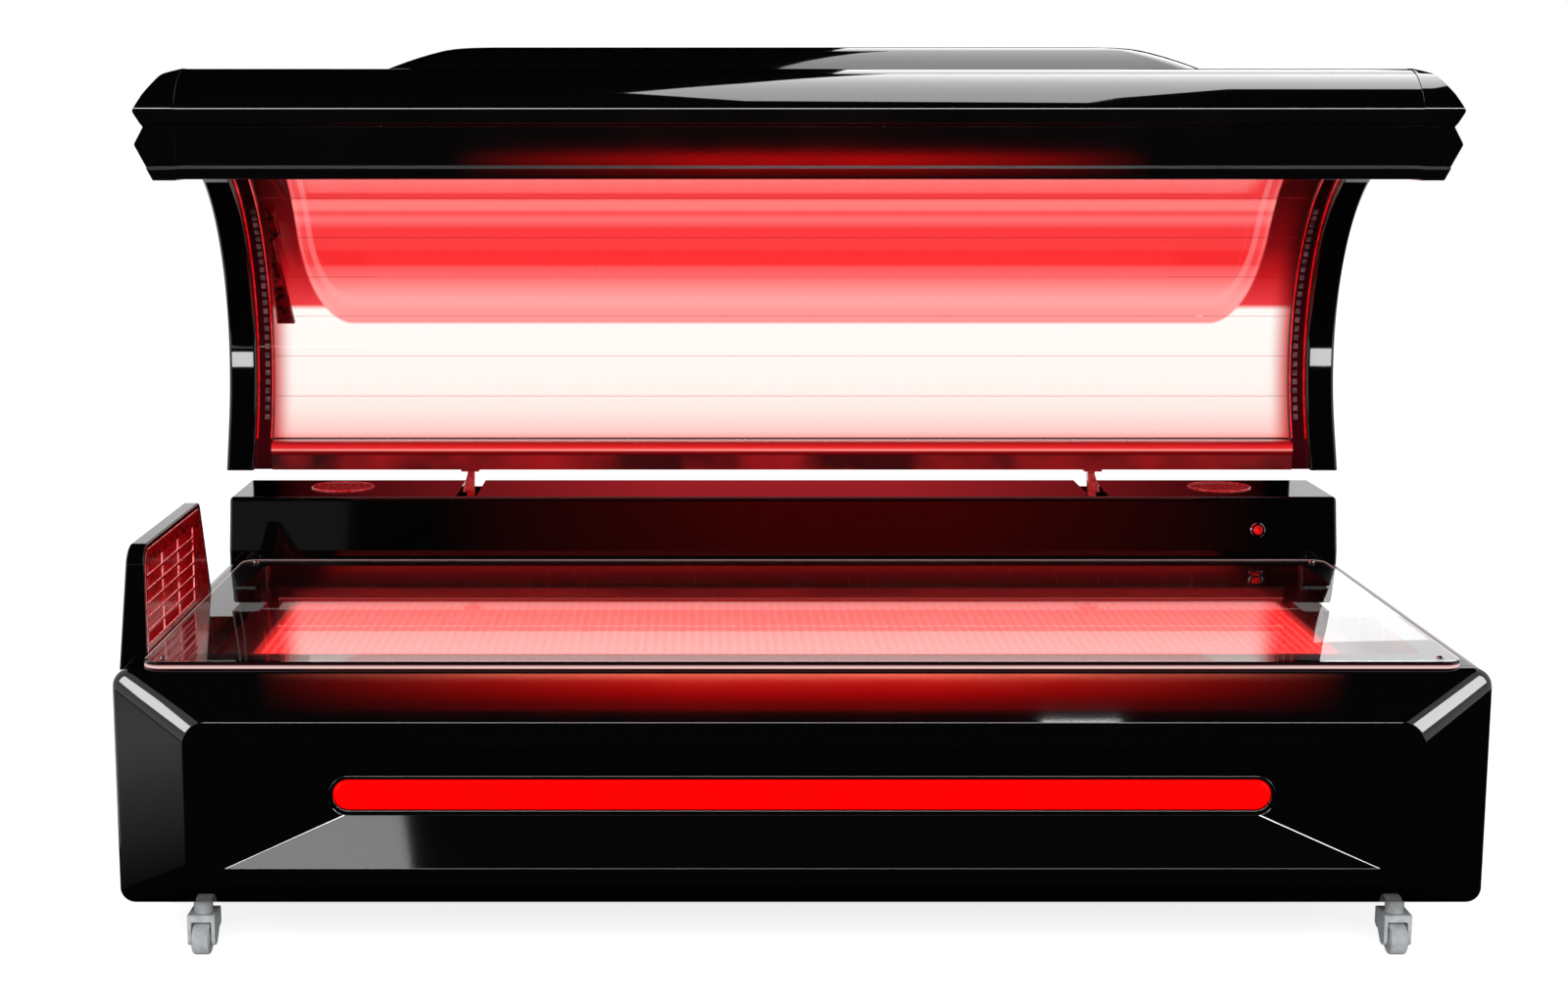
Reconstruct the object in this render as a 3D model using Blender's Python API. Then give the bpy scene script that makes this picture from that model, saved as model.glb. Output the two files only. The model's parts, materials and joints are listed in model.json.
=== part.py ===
"""Red light therapy bed: a glossy black base on casters and a hinged canopy, both lined with light panels.

Metres, +Z up, +X along the bed, -Y towards the side that a person gets in from. The origin is on the floor
under the middle of the bed. The canopy stands open, as it does when nobody is in the bed.
"""

import math

import bmesh
import bpy
from mathutils import Matrix, Vector

# Fits and walls
GAP = 0.0003
RUNNING_GAP = 0.0006
WALL = 0.004
SHEET = 0.002

# Base cabinet
BED_LENGTH = 2.20
BED_DEPTH = 1.23
BASE_BOTTOM = 0.105
BASE_TOP = 0.492
TOP_EDGE_RADIUS = 0.030
BOTTOM_EDGE_RADIUS = 0.023
COVER_LIP = 0.050
REAR_INSET = 0.006
REAR_SLOT_LENGTH = 0.260
REAR_SLOT_HEIGHT = 0.008
REAR_SLOT_PITCH = 0.020
REAR_SLOT_ROWS = 7
REAR_SLOT_X = 0.450

# Front fascia: facets run from the rim to a raised panel, which funnels in to the slot of the light bar
FACET_DEPTH = 0.055
FASCIA_RETURN = 0.025
PANEL_END_MARGIN = 0.121
PANEL_TOP_MARGIN = 0.073
PANEL_BOTTOM_MARGIN = 0.047
PANEL_RADIUS = 0.038
RECESS_END_MARGIN = 0.044
RECESS_TOP_MARGIN = 0.041
RECESS_BOTTOM_MARGIN = 0.028
RECESS_RADIUS = 0.020
RECESS_DEPTH = 0.040
SLOT_LENGTH = 1.514
SLOT_HEIGHT = 0.065
SLOT_RISE = 0.0105
SLOT_DEPTH = 0.015
BEZEL_WIDTH = 0.007
BEZEL_DEPTH = 0.030
LENS_CROWN = 0.004
LENS_DEPTH = 0.018

# Lying plate, the rim that carries it and the lit tray below it
PLATE_END_INSET = 0.048
PLATE_THICKNESS = 0.012
PLATE_RADIUS = 0.030
RIM_WIDTH = 0.045
RIM_HEIGHT = 0.040
RIM_CORNER_RADIUS = 0.010
TRAY_DEPTH = 0.048
BED_PANEL_THICKNESS = 0.004
BED_PANEL_MARGIN = 0.020

# Chassis of square tube
TUBE = 0.040
CHASSIS_END_INSET = 0.060
CONSOLE_RAIL_DEPTH = 0.030
CASTER_END_INSET = 0.120
CASTER_SIDE_INSET = 0.125

# Console behind the plate
CONSOLE_END_INSET = 0.020
CONSOLE_DEPTH = 0.295
CONSOLE_HEIGHT = 0.131
CONSOLE_CREASE_HEIGHT = 0.0295
CONSOLE_FACE_SETBACK = 0.0217
CONSOLE_TOP_DEPTH = 0.221
CONSOLE_REAR_INSET = 0.004
CONSOLE_REAR_SHOULDER = 0.033
CONSOLE_EDGE_RADIUS = 0.008
CONSOLE_END_BEVEL = 0.004
ARM_SLOT_WIDTH = 0.040
ARM_SLOT_SETBACK = 0.012
SPEAKER_END_INSET = 0.223
SPEAKER_SETBACK = 0.128
SPEAKER_RADIUS = 0.0625
SPEAKER_HOLE_RADIUS = 0.056
SPEAKER_DEPTH = 0.055
SPEAKER_RIM = 0.0025
SPEAKER_RIB_SLOPE = 0.0012
SPEAKER_RIBS = 4
BUTTON_END_INSET = 0.175
BUTTON_HEIGHT = 0.068
BUTTON_RADIUS = 0.009
BUTTON_TRAVEL = 0.003
BUTTON_RING_RADIUS = 0.0145
BUTTON_BARREL_RADIUS = 0.0115
BUTTON_BARREL_LENGTH = 0.024
BUTTON_LIP = 0.0025
BUTTON_EDGE = 0.0015

# Air outlet that stands on the left end, with a cross-flow fan in the base below it
VENT_SETBACK = 0.056
VENT_DEPTH = 0.517
VENT_REAR_SLOPE = 0.083
VENT_HEIGHT = 0.188
VENT_FRONT_RADIUS = 0.030
VENT_WIDTH = 0.0465
VENT_LEAN = 0.095
VENT_CAVITY = 0.016
VENT_BORDER = 0.010
VENT_GRILLE_THICKNESS = 0.003
VENT_COLUMNS = 3
VENT_ROWS = 6
VENT_COLUMN_PITCH = 0.121
VENT_ROW_PITCH = 0.0225
VENT_BAR = 0.0045
VENT_FIRST_ROW = 0.024
FAN_RADIUS = 0.022
FAN_LENGTH = 0.300
FAN_BLADES = 12
FAN_CORE_RADIUS = 0.0143
FAN_SHAFT_RADIUS = 0.004
FAN_FRAME_SIZE = 0.058
FAN_END_INSET = 0.048
FAN_SETBACK = 0.064

# Canopy hinge, its arms and the gas springs that hold it up
HINGE_SETBACK = 0.098
HINGE_DROP = 0.058
HINGE_X = 0.620
ARM_THICKNESS = 0.014
ARM_EYE_RADIUS = 0.022
PIN_RADIUS = 0.008
PIN_HEAD_LENGTH = 0.003
CHEEK = 0.006
BRACKET_DEPTH = 0.060
BRACKET_BASE = 0.008
CRANK_RADIUS = 0.070
CRANK_ANGLE = 162.5
CRANK_PIN_RADIUS = 0.004
CRANK_PIN_LENGTH = 0.013
ROD_RADIUS = 0.005
ROD_LENGTH = 0.150
ROD_EYE_RADIUS = 0.011
ROD_EYE_THICKNESS = 0.010
ROD_SLOT = 0.0040
CYLINDER_RADIUS = 0.011
CYLINDER_DROP = 0.045

# Canopy: pieces follow an arc whose front edge is the reference line
CANOPY_RADIUS = 0.385
CANOPY_DEPTH = 0.102
CANOPY_CLEARANCE = 0.041
CANOPY_STRAIGHT = 0.0873
CANOPY_SETBACK = 0.011
CANOPY_LOW_ANGLE = -22.0
CANOPY_ROOF_REACH = 0.192
FRAME_WIDTH = 0.055
FRAME_FLANGE = 0.033
FLANGE_FRONT = 0.0185
FLANGE_THICKNESS = 0.012
FRAME_CHAMFER = 0.004
ACRYLIC_FRONT = 0.014
ACRYLIC_THICKNESS = 0.004
CANOPY_PANEL_FRONT = 0.045
CANOPY_PANEL_THICKNESS = 0.004
CANOPY_PANEL_SPLIT = 34.0
RAIL_HEIGHT = 0.056
RAIL_STEP_HEIGHT = 0.030
RAIL_NOSE = 0.012
RAIL_EDGE = 0.004
STRIP_THICKNESS = 0.003
STRIP_SETBACK = 0.002
ARM_FLANGE_THICKNESS = 0.006
ARM_FLANGE_LENGTH = 0.060
ARM_FLANGE_WIDTH = 0.036
ARM_FOOT_SETBACK = 0.035

# Front beam of the canopy, its end caps and the hood above it
BEAM_DEPTH = 0.180
BEAM_RISE = 0.0268
BEAM_LIP_HEIGHT = 0.021
BEAM_STEP_HEIGHT = 0.092
BEAM_CREASE_HEIGHT = 0.117
BEAM_HEIGHT = 0.182
BEAM_CROWN_SETBACK = 0.098
BEAM_REAR_DROP = 0.018
BEAM_STEP = 0.006
BEAM_CROWN_RADIUS = 0.060
BEAM_BROW_RADIUS = 0.030
BEAM_BROW_DROP = 0.015
BEAM_EDGE = 0.004
BEAM_END_INSET = 0.070
CAP_LENGTH = 0.068
CAP_GROOVE = 0.016
CAP_EDGE_RADIUS = 0.006
HOOD_LENGTH = 1.420
HOOD_TOP_LENGTH = 1.190
HOOD_SETBACK = 0.008
HOOD_DEPTH = 0.430
HOOD_RISE = 0.040
HOOD_SHOULDER = 0.040
HOOD_SKIRT_DROP = 0.138
HOOD_CORNER_RADIUS = 0.050
HOOD_CROWN = 0.008
HOOD_DEPTH_TAPER = 0.069

# Casters
WHEEL_RADIUS = 0.026
WHEEL_WIDTH = 0.028
WHEEL_CLEARANCE = 0.0025
WHEEL_SHOULDER = 0.004
WHEEL_DISH = 0.003
AXLE_RADIUS = 0.004
FORK_LEG = 0.006
FORK_BRIDGE_BOTTOM = 0.0565
FORK_TOP = 0.068
CASTER_TRAIL = 0.016
NECK_RADIUS = 0.016
STEM_RADIUS = 0.006
STEM_LENGTH = 0.024
LEVER_PIVOT_Y = 0.020
LEVER_PIVOT_Z = 0.047
LEVER_PIN_RADIUS = 0.003
LEVER_WIDTH = 0.026
LEVER_PAD = 0.005

# Electrical pieces
INLET_X = 0.760
INLET_RISE = 0.095
INLET_WIDTH = 0.048
INLET_HEIGHT = 0.028
INLET_FLANGE = 0.006
INLET_DEPTH = 0.030
INLET_WALL = 0.003
INLET_POCKET = 0.022
SUPPLY_LENGTH = 0.300
SUPPLY_DEPTH = 0.160
SUPPLY_HEIGHT = 0.070
SUPPLY_RIBS = 8
SUPPLY_RIB = 0.006
SUPPLY_RIB_HEIGHT = 0.010

# Facets of round shapes
ROUND_STEPS = 20
SMALL_STEPS = 12
CORNER_STEPS = 3
ARC_STEPS = 20

# Colour, roughness and metallic value of each finish
FINISHES = {
    "gloss_black": ((0.006, 0.006, 0.007), 0.08, 0.0),
    "satin_black": ((0.012, 0.012, 0.013), 0.40, 0.0),
    "clear_acrylic": ((0.86, 0.88, 0.88), 0.03, 0.0),
    "red_lens": ((0.85, 0.01, 0.01), 0.20, 0.0),
    "light_panel": ((0.80, 0.10, 0.10), 0.35, 0.0),
    "caster_grey": ((0.55, 0.56, 0.57), 0.45, 0.0),
    "zinc_steel": ((0.60, 0.60, 0.61), 0.30, 1.0),
    "chrome": ((0.78, 0.78, 0.79), 0.10, 1.0),
    "painted_steel": ((0.03, 0.03, 0.032), 0.45, 0.6),
}

# Places that follow from the sizes above
END_X = BED_LENGTH / 2
FRONT_Y = -BED_DEPTH / 2
REAR_Y = BED_DEPTH / 2
RIM_Y = FRONT_Y + FACET_DEPTH
FASCIA_BACK_Y = RIM_Y + FASCIA_RETURN
RECESS_LOW = BASE_BOTTOM + PANEL_BOTTOM_MARGIN + RECESS_BOTTOM_MARGIN
RECESS_HIGH = BASE_TOP - PANEL_TOP_MARGIN - RECESS_TOP_MARGIN
SLOT_CENTRE_Z = (RECESS_LOW + RECESS_HIGH) / 2 + SLOT_RISE
PLATE_LENGTH = BED_LENGTH - 2 * PLATE_END_INSET
PLATE_REAR_Y = REAR_Y - CONSOLE_DEPTH
PLATE_BOTTOM = BASE_TOP + GAP
PLATE_TOP = PLATE_BOTTOM + PLATE_THICKNESS
RIM_OUTER_X = END_X - COVER_LIP - GAP
RIM_FRONT_Y = FASCIA_BACK_Y + GAP
RIM_REAR_Y = PLATE_REAR_Y - GAP
RIM_BOTTOM = BASE_TOP - RIM_HEIGHT
PAN_BOTTOM = BASE_BOTTOM + WALL + GAP
CHASSIS_BOTTOM = PAN_BOTTOM + SHEET + GAP
CHASSIS_TOP = CHASSIS_BOTTOM + TUBE
CASTER_X = END_X - CASTER_END_INSET
CASTER_Y = REAR_Y - CASTER_SIDE_INSET
CONSOLE_LENGTH = BED_LENGTH - 2 * CONSOLE_END_INSET
CONSOLE_TOP = BASE_TOP + CONSOLE_HEIGHT
CONSOLE_CREASE_Z = BASE_TOP + CONSOLE_CREASE_HEIGHT
CONSOLE_FRONT_Y = PLATE_REAR_Y + GAP
CONSOLE_TOP_FRONT_Y = CONSOLE_FRONT_Y + CONSOLE_FACE_SETBACK
CONSOLE_TOP_REAR_Y = CONSOLE_TOP_FRONT_Y + CONSOLE_TOP_DEPTH
CONSOLE_REAR_Y = REAR_Y - CONSOLE_REAR_INSET
CONSOLE_LEAN = math.atan2(CONSOLE_FACE_SETBACK, CONSOLE_HEIGHT - CONSOLE_CREASE_HEIGHT)
ARM_SLOT_FRONT_Y = CONSOLE_TOP_FRONT_Y + ARM_SLOT_SETBACK
SPEAKER_X = END_X - SPEAKER_END_INSET
SPEAKER_Y = CONSOLE_TOP_FRONT_Y + SPEAKER_SETBACK
BUTTON_X = END_X - BUTTON_END_INSET
BUTTON_Z = BASE_TOP + BUTTON_HEIGHT
VENT_FRONT_Y = RIM_Y + VENT_SETBACK
VENT_REAR_Y = VENT_FRONT_Y + VENT_DEPTH
VENT_TOP_REAR_Y = VENT_REAR_Y - VENT_REAR_SLOPE
VENT_TOP = BASE_TOP + VENT_HEIGHT
VENT_INNER_X = END_X - VENT_WIDTH
VENT_FIRST_Z = BASE_TOP + VENT_FIRST_ROW
FAN_X = END_X - FAN_END_INSET
FAN_FRONT_Y = VENT_FRONT_Y + FAN_SETBACK
HINGE_Y = CONSOLE_TOP_FRONT_Y + HINGE_SETBACK
HINGE_Z = CONSOLE_TOP - HINGE_DROP
CYLINDER_TOP = HINGE_Z - CYLINDER_DROP
LOW_TURN = math.radians(CANOPY_LOW_ANGLE)
CANOPY_BOTTOM = CONSOLE_TOP + CANOPY_CLEARANCE
CANOPY_CENTRE_Y = HINGE_Y + CANOPY_SETBACK - CANOPY_RADIUS * math.cos(LOW_TURN)
CANOPY_CENTRE_Z = CANOPY_BOTTOM + CANOPY_STRAIGHT - CANOPY_RADIUS * math.sin(LOW_TURN)
CANOPY_FRONT_Y = CANOPY_CENTRE_Y - CANOPY_ROOF_REACH
CANOPY_ROOF_Z = CANOPY_CENTRE_Z + math.sqrt(CANOPY_RADIUS ** 2 - CANOPY_ROOF_REACH ** 2)
FRAME_INNER_X = END_X - FRAME_WIDTH
FLANGE_INNER_X = FRAME_INNER_X - FRAME_FLANGE
RAIL_TOP = CANOPY_BOTTOM + RAIL_HEIGHT
RAIL_STEP_Z = CANOPY_BOTTOM + RAIL_STEP_HEIGHT
RAIL_NOSE_Y = HINGE_Y - RAIL_NOSE
STRIP_Y = RAIL_NOSE_Y + STRIP_SETBACK
ARM_FOOT_Y = HINGE_Y + ARM_FOOT_SETBACK
BEAM_FRONT_Y = CANOPY_FRONT_Y - BEAM_DEPTH
BEAM_CROWN_Y = BEAM_FRONT_Y + BEAM_CROWN_SETBACK
BEAM_BOTTOM = CANOPY_ROOF_Z + BEAM_RISE
BEAM_LIP_Z = BEAM_BOTTOM + BEAM_LIP_HEIGHT
BEAM_STEP_Z = BEAM_BOTTOM + BEAM_STEP_HEIGHT
BEAM_CREASE_Z = BEAM_BOTTOM + BEAM_CREASE_HEIGHT
BEAM_TOP = BEAM_BOTTOM + BEAM_HEIGHT
BEAM_REAR_TOP = BEAM_TOP - BEAM_REAR_DROP
BEAM_LENGTH = BED_LENGTH - 2 * BEAM_END_INSET
HOOD_FRONT_Y = CANOPY_FRONT_Y + HOOD_SETBACK
HOOD_REAR_Y = HOOD_FRONT_Y + HOOD_DEPTH
HOOD_TOP = BEAM_TOP + HOOD_RISE
HOOD_SKIRT_Z = BEAM_TOP - HOOD_SKIRT_DROP
INLET_Z = BASE_BOTTOM + INLET_RISE


# Small tools for outlines and solids


def fillet(corners, steps=CORNER_STEPS):
    """Round each (a, b, radius) corner of a closed outline with an arc of the given number of steps."""
    points = []
    for index, (a, b, radius) in enumerate(corners):
        here = Vector((a, b))
        if radius == 0:
            points.append((a, b))
            continue
        before = (Vector(corners[index - 1][:2]) - here).normalized()
        after = (Vector(corners[(index + 1) % len(corners)][:2]) - here).normalized()
        half = before.angle(after) / 2
        centre = here + (before + after).normalized() * (radius / math.sin(half))
        reach = radius / math.tan(half)
        first = here + before * reach - centre
        last = here + after * reach - centre
        start = math.atan2(first.y, first.x)
        turn = (math.atan2(last.y, last.x) - start + math.pi) % (2 * math.pi) - math.pi
        for step in range(steps + 1):
            angle = start + turn * step / steps
            points.append((centre.x + radius * math.cos(angle), centre.y + radius * math.sin(angle)))
    return points


def rectangle(half_width, low, high, top_radius, bottom_radius):
    """A rounded rectangle centred on zero across, from low to high."""
    return fillet([
        (-half_width, low, bottom_radius),
        (half_width, low, bottom_radius),
        (half_width, high, top_radius),
        (-half_width, high, top_radius),
    ])


def circle(radius, steps=ROUND_STEPS, centre=(0, 0)):
    """Points of a circle."""
    angles = [2 * math.pi * step / steps for step in range(steps)]
    a, b = centre
    return [(a + radius * math.cos(angle), b + radius * math.sin(angle)) for angle in angles]


def beside(path, distance):
    """A path at an even distance on the left of an open path's direction."""
    points = [Vector(point) for point in path]
    runs = [(after - before).normalized() for before, after in zip(points, points[1:])]
    moved = []
    for index, point in enumerate(points):
        before = runs[max(index - 1, 0)]
        after = runs[min(index, len(runs) - 1)]
        along = (before + after).normalized()
        normal = Vector((-along.y, along.x))
        moved.append(tuple(point + normal * (distance / normal.dot(Vector((-after.y, after.x))))))
    return moved


def ribbon(path, thickness):
    """Close an open path into an outline of even thickness, on the left of its direction."""
    return list(path) + beside(path, thickness)[::-1]


def at(axis, a, b, t):
    """A point at t along the axis, with a and b the other two coordinates in X, Y, Z order."""
    return {"X": (t, a, b), "Y": (a, t, b), "Z": (a, b, t)}[axis]


def prism(outline, axis, low, high):
    """Extrude a closed outline along an axis."""
    shape = bmesh.new()
    cap = shape.faces.new([shape.verts.new(at(axis, a, b, low)) for a, b in outline])
    made = bmesh.ops.extrude_face_region(shape, geom=[cap])["geom"]
    moved = [item for item in made if isinstance(item, bmesh.types.BMVert)]
    bmesh.ops.translate(shape, verts=moved, vec=at(axis, 0, 0, high - low))
    bmesh.ops.recalc_face_normals(shape, faces=shape.faces[:])
    return shape


def box(low, high):
    """A box between two corners."""
    outline = [(low[0], low[1]), (high[0], low[1]), (high[0], high[1]), (low[0], high[1])]
    return prism(outline, "Z", low[2], high[2])


def loft(rings, looped=False, capped=True):
    """Skin rings of equal point counts; looped joins the last ring to the first."""
    shape = bmesh.new()
    loops = [[shape.verts.new(point) for point in ring] for ring in rings]
    pairs = list(zip(loops, loops[1:]))
    if looped:
        pairs.append((loops[-1], loops[0]))
    for near, far in pairs:
        for index in range(len(near)):
            shape.faces.new((near[index - 1], near[index], far[index], far[index - 1]))
    if capped and not looped:
        shape.faces.new(loops[0])
        shape.faces.new(loops[-1])
    if looped or capped:
        bmesh.ops.recalc_face_normals(shape, faces=shape.faces[:])
    return shape


def turned(profile, axis, centre, steps=ROUND_STEPS, looped=False):
    """Turn (radius, along) points about an axis through a centre; looped makes a ring with a bore."""
    rings = []
    for radius, along in profile:
        ring = [Vector(at(axis, a, b, along)) + Vector(centre) for a, b in circle(radius, steps)]
        rings.append(ring)
    return loft(rings, looped)


def joined(shapes):
    """Put several shapes into one mesh, as separate bodies of a cutter."""
    whole = bmesh.new()
    for shape in shapes:
        mesh = bpy.data.meshes.new("piece")
        shape.to_mesh(mesh)
        whole.from_mesh(mesh)
        bpy.data.meshes.remove(mesh)
        shape.free()
    return whole


def temporary(shape):
    """A scene object that holds a shape while a modifier works on it."""
    mesh = bpy.data.meshes.new("work")
    shape.to_mesh(mesh)
    shape.free()
    item = bpy.data.objects.new("work", mesh)
    bpy.context.collection.objects.link(item)
    return item


def finished(item, others=()):
    """The evaluated shape of a temporary object, which is removed with the objects it used."""
    bpy.context.view_layer.update()
    graph = bpy.context.evaluated_depsgraph_get()
    result = bmesh.new()
    result.from_object(item, graph)
    for used in (item, *others):
        bpy.data.objects.remove(used, do_unlink=True)
    return result


def carve(shape, tool, operation="DIFFERENCE"):
    """One exact Boolean between two shapes."""
    item = temporary(shape)
    cutter = temporary(tool)
    step = item.modifiers.new("carve", "BOOLEAN")
    step.operation = operation
    step.solver = "EXACT"
    step.object = cutter
    return finished(item, [cutter])


def unite(shapes):
    """Fuse overlapping shapes into one body."""
    whole = shapes[0]
    for shape in shapes[1:]:
        whole = carve(whole, shape, "UNION")
    return whole


def thicken(skin, thickness, outward):
    """Give an open skin a wall on its inner side; outward is the side that the skin's first face looks to."""
    skin.faces.ensure_lookup_table()
    skin.normal_update()
    if skin.faces[0].normal.dot(Vector(outward)) < 0:
        bmesh.ops.reverse_faces(skin, faces=skin.faces[:])
    item = temporary(skin)
    step = item.modifiers.new("wall", "SOLIDIFY")
    step.thickness = thickness
    step.offset = -1
    step.use_even_offset = True
    return finished(item)


def mirrored(shape):
    """The same shape on the other side of the bed's middle."""
    bmesh.ops.scale(shape, vec=(-1, 1, 1), verts=shape.verts[:])
    bmesh.ops.reverse_faces(shape, faces=shape.faces[:])
    return shape


def finish_material(name, finish):
    """A plain material for one piece."""
    colour, roughness, metallic = FINISHES[finish]
    made = bpy.data.materials.new(name)
    made.use_nodes = True
    shader = made.node_tree.nodes["Principled BSDF"]
    shader.inputs["Base Color"].default_value = (*colour, 1)
    shader.inputs["Roughness"].default_value = roughness
    shader.inputs["Metallic"].default_value = metallic
    if finish == "clear_acrylic":
        shader.inputs["Transmission Weight"].default_value = 1
    return made


def pivot(name, place):
    """An empty on a joint's axis, which the moving pieces hang from."""
    item = bpy.data.objects.new(name, None)
    item.location = place
    bpy.context.collection.objects.link(item)
    return item


def add_part(name, shape, finish, parent=None, origin=(0, 0, 0), smooth=False):
    """Make a named piece from a shape in bed coordinates, with its origin where it turns or slides."""
    bmesh.ops.translate(shape, verts=shape.verts[:], vec=-Vector(origin))
    mesh = bpy.data.meshes.new(name)
    shape.to_mesh(mesh)
    shape.free()
    if smooth:
        mesh.shade_smooth()
        mesh.set_sharp_from_angle(angle=math.radians(35))
    mesh.materials.append(finish_material(name, finish))
    item = bpy.data.objects.new(name, mesh)
    item.location = Vector(origin)
    if parent:
        item.parent = parent
        item.location -= parent.location
    bpy.context.collection.objects.link(item)
    return item


# Base cabinet


def stadium(length, height, centre_z):
    """A rounded slot outline; its ends stop just short of half circles so that no two points meet."""
    round_end = height * 0.49
    return rectangle(length / 2, centre_z - height / 2, centre_z + height / 2, round_end, round_end)


def upright(outline, y):
    """A ring of points that stands across the bed at one depth."""
    return [(a, y, b) for a, b in outline]


def level(outline, z):
    """A ring of points that lies flat at one height."""
    return [(a, b, z) for a, b in outline]


def base_outline(grown=0.0):
    """The rounded section of the base along its whole depth."""
    return rectangle(
        END_X + grown,
        BASE_BOTTOM - grown,
        BASE_TOP + grown,
        TOP_EDGE_RADIUS + grown,
        BOTTOM_EDGE_RADIUS + grown,
    )


def front_fascia():
    """Moulded front: mitred facets, a flat panel and a funnel that narrows to the slot of the light bar."""
    panel_x = END_X - PANEL_END_MARGIN
    panel_low = BASE_BOTTOM + PANEL_BOTTOM_MARGIN
    panel_high = BASE_TOP - PANEL_TOP_MARGIN
    panel = rectangle(panel_x, panel_low, panel_high, PANEL_RADIUS, PANEL_RADIUS)
    recess = rectangle(
        panel_x - RECESS_END_MARGIN,
        panel_low + RECESS_BOTTOM_MARGIN,
        panel_high - RECESS_TOP_MARGIN,
        RECESS_RADIUS,
        RECESS_RADIUS,
    )
    slot = stadium(SLOT_LENGTH, SLOT_HEIGHT, SLOT_CENTRE_Z)
    slot_y = FRONT_Y + RECESS_DEPTH
    skin = loft(
        [
            upright(base_outline(), FASCIA_BACK_Y),
            upright(base_outline(), RIM_Y),
            upright(panel, FRONT_Y),
            upright(recess, FRONT_Y),
            upright(slot, slot_y),
            upright(slot, slot_y + SLOT_DEPTH),
        ],
        capped=False,
    )
    add_part("front_fascia", thicken(skin, WALL, (-1, 0, 0)), "gloss_black")


def light_bar():
    """Bezel in the slot and the crowned red lens in the bezel."""
    front = FRONT_Y + RECESS_DEPTH + GAP
    outer = stadium(SLOT_LENGTH - 2 * GAP, SLOT_HEIGHT - 2 * GAP, SLOT_CENTRE_Z)
    shrink = 2 * (GAP + BEZEL_WIDTH)
    inner = stadium(SLOT_LENGTH - shrink, SLOT_HEIGHT - shrink, SLOT_CENTRE_Z)
    rings = [
        upright(outer, front),
        upright(outer, front + BEZEL_DEPTH),
        upright(inner, front + BEZEL_DEPTH),
        upright(inner, front),
    ]
    add_part("light_bar_bezel", loft(rings, looped=True), "satin_black")
    shrink += 2 * GAP
    full = stadium(SLOT_LENGTH - shrink, SLOT_HEIGHT - shrink, SLOT_CENTRE_Z)
    shrink += 4 * LENS_CROWN
    crown = stadium(SLOT_LENGTH - shrink, SLOT_HEIGHT - shrink, SLOT_CENTRE_Z)
    lens_front = front + SHEET
    lens = [
        upright(crown, lens_front),
        upright(full, lens_front + LENS_CROWN),
        upright(full, lens_front + LENS_DEPTH),
    ]
    add_part("light_bar_lens", loft(lens), "red_lens")


def vent_duct():
    """The air passage from the base up into the outlet."""
    low_x = -(END_X - TOP_EDGE_RADIUS)
    high_x = -(VENT_INNER_X + VENT_GRILLE_THICKNESS + GAP)
    front = FAN_FRONT_Y + 2 * SHEET
    rear = FAN_FRONT_Y + FAN_LENGTH - 2 * SHEET
    low_z = BASE_TOP - 3 * WALL
    return box((low_x, front, low_z), (high_x, rear, BASE_TOP + 2 * VENT_BORDER))


def end_covers():
    """Side covers with rounded edges and lips that turn in over the chassis."""
    path = fillet([
        (END_X - COVER_LIP, BASE_BOTTOM, 0),
        (END_X, BASE_BOTTOM, BOTTOM_EDGE_RADIUS),
        (END_X, BASE_TOP, TOP_EDGE_RADIUS),
        (END_X - COVER_LIP, BASE_TOP, 0),
    ])
    outline = ribbon(path, WALL)
    front = FASCIA_BACK_Y + GAP
    add_part("right_end_cover", prism(outline, "Y", front, REAR_Y), "gloss_black")
    left = mirrored(prism(outline, "Y", front, REAR_Y))
    add_part("left_end_cover", carve(left, vent_duct()), "gloss_black")


def rear_cover():
    """Flat back with two fields of cooling slots and the opening of the mains inlet."""
    shrink = WALL + GAP
    rear = REAR_Y - REAR_INSET
    shape = prism(base_outline(-shrink), "Y", rear - WALL, rear)
    holes = []
    middle_z = (BASE_BOTTOM + BASE_TOP) / 2
    for side in (-1, 1):
        left = side * REAR_SLOT_X - REAR_SLOT_LENGTH / 2
        right = left + REAR_SLOT_LENGTH
        for row in range(REAR_SLOT_ROWS):
            low = middle_z + (row - REAR_SLOT_ROWS / 2) * REAR_SLOT_PITCH
            high = low + REAR_SLOT_HEIGHT
            holes.append(box((left, rear - 2 * WALL, low), (right, rear + WALL, high)))
    half = INLET_WIDTH / 2 + GAP
    rise = INLET_HEIGHT / 2 + GAP
    low_corner = (INLET_X - half, rear - 2 * WALL, INLET_Z - rise)
    holes.append(box(low_corner, (INLET_X + half, rear + WALL, INLET_Z + rise)))
    add_part("rear_cover", carve(shape, joined(holes)), "satin_black")


def mains_inlet():
    """Recessed socket for a mains lead, held in the back by its flange."""
    rear = REAR_Y - REAR_INSET
    half = INLET_WIDTH / 2
    rise = INLET_HEIGHT / 2
    outer = rear + INLET_FLANGE

    def block(grown, near, far):
        low = (INLET_X - half - grown, near, INLET_Z - rise - grown)
        high = (INLET_X + half + grown, far, INLET_Z + rise + grown)
        return box(low, high)

    body = block(0, rear - INLET_DEPTH, outer)
    plate = block(INLET_FLANGE, rear + GAP, outer - INLET_WALL)
    hollow = block(-INLET_WALL, rear - INLET_POCKET, outer + INLET_WALL)
    add_part("mains_inlet", carve(unite([body, plate]), hollow), "satin_black")


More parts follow.
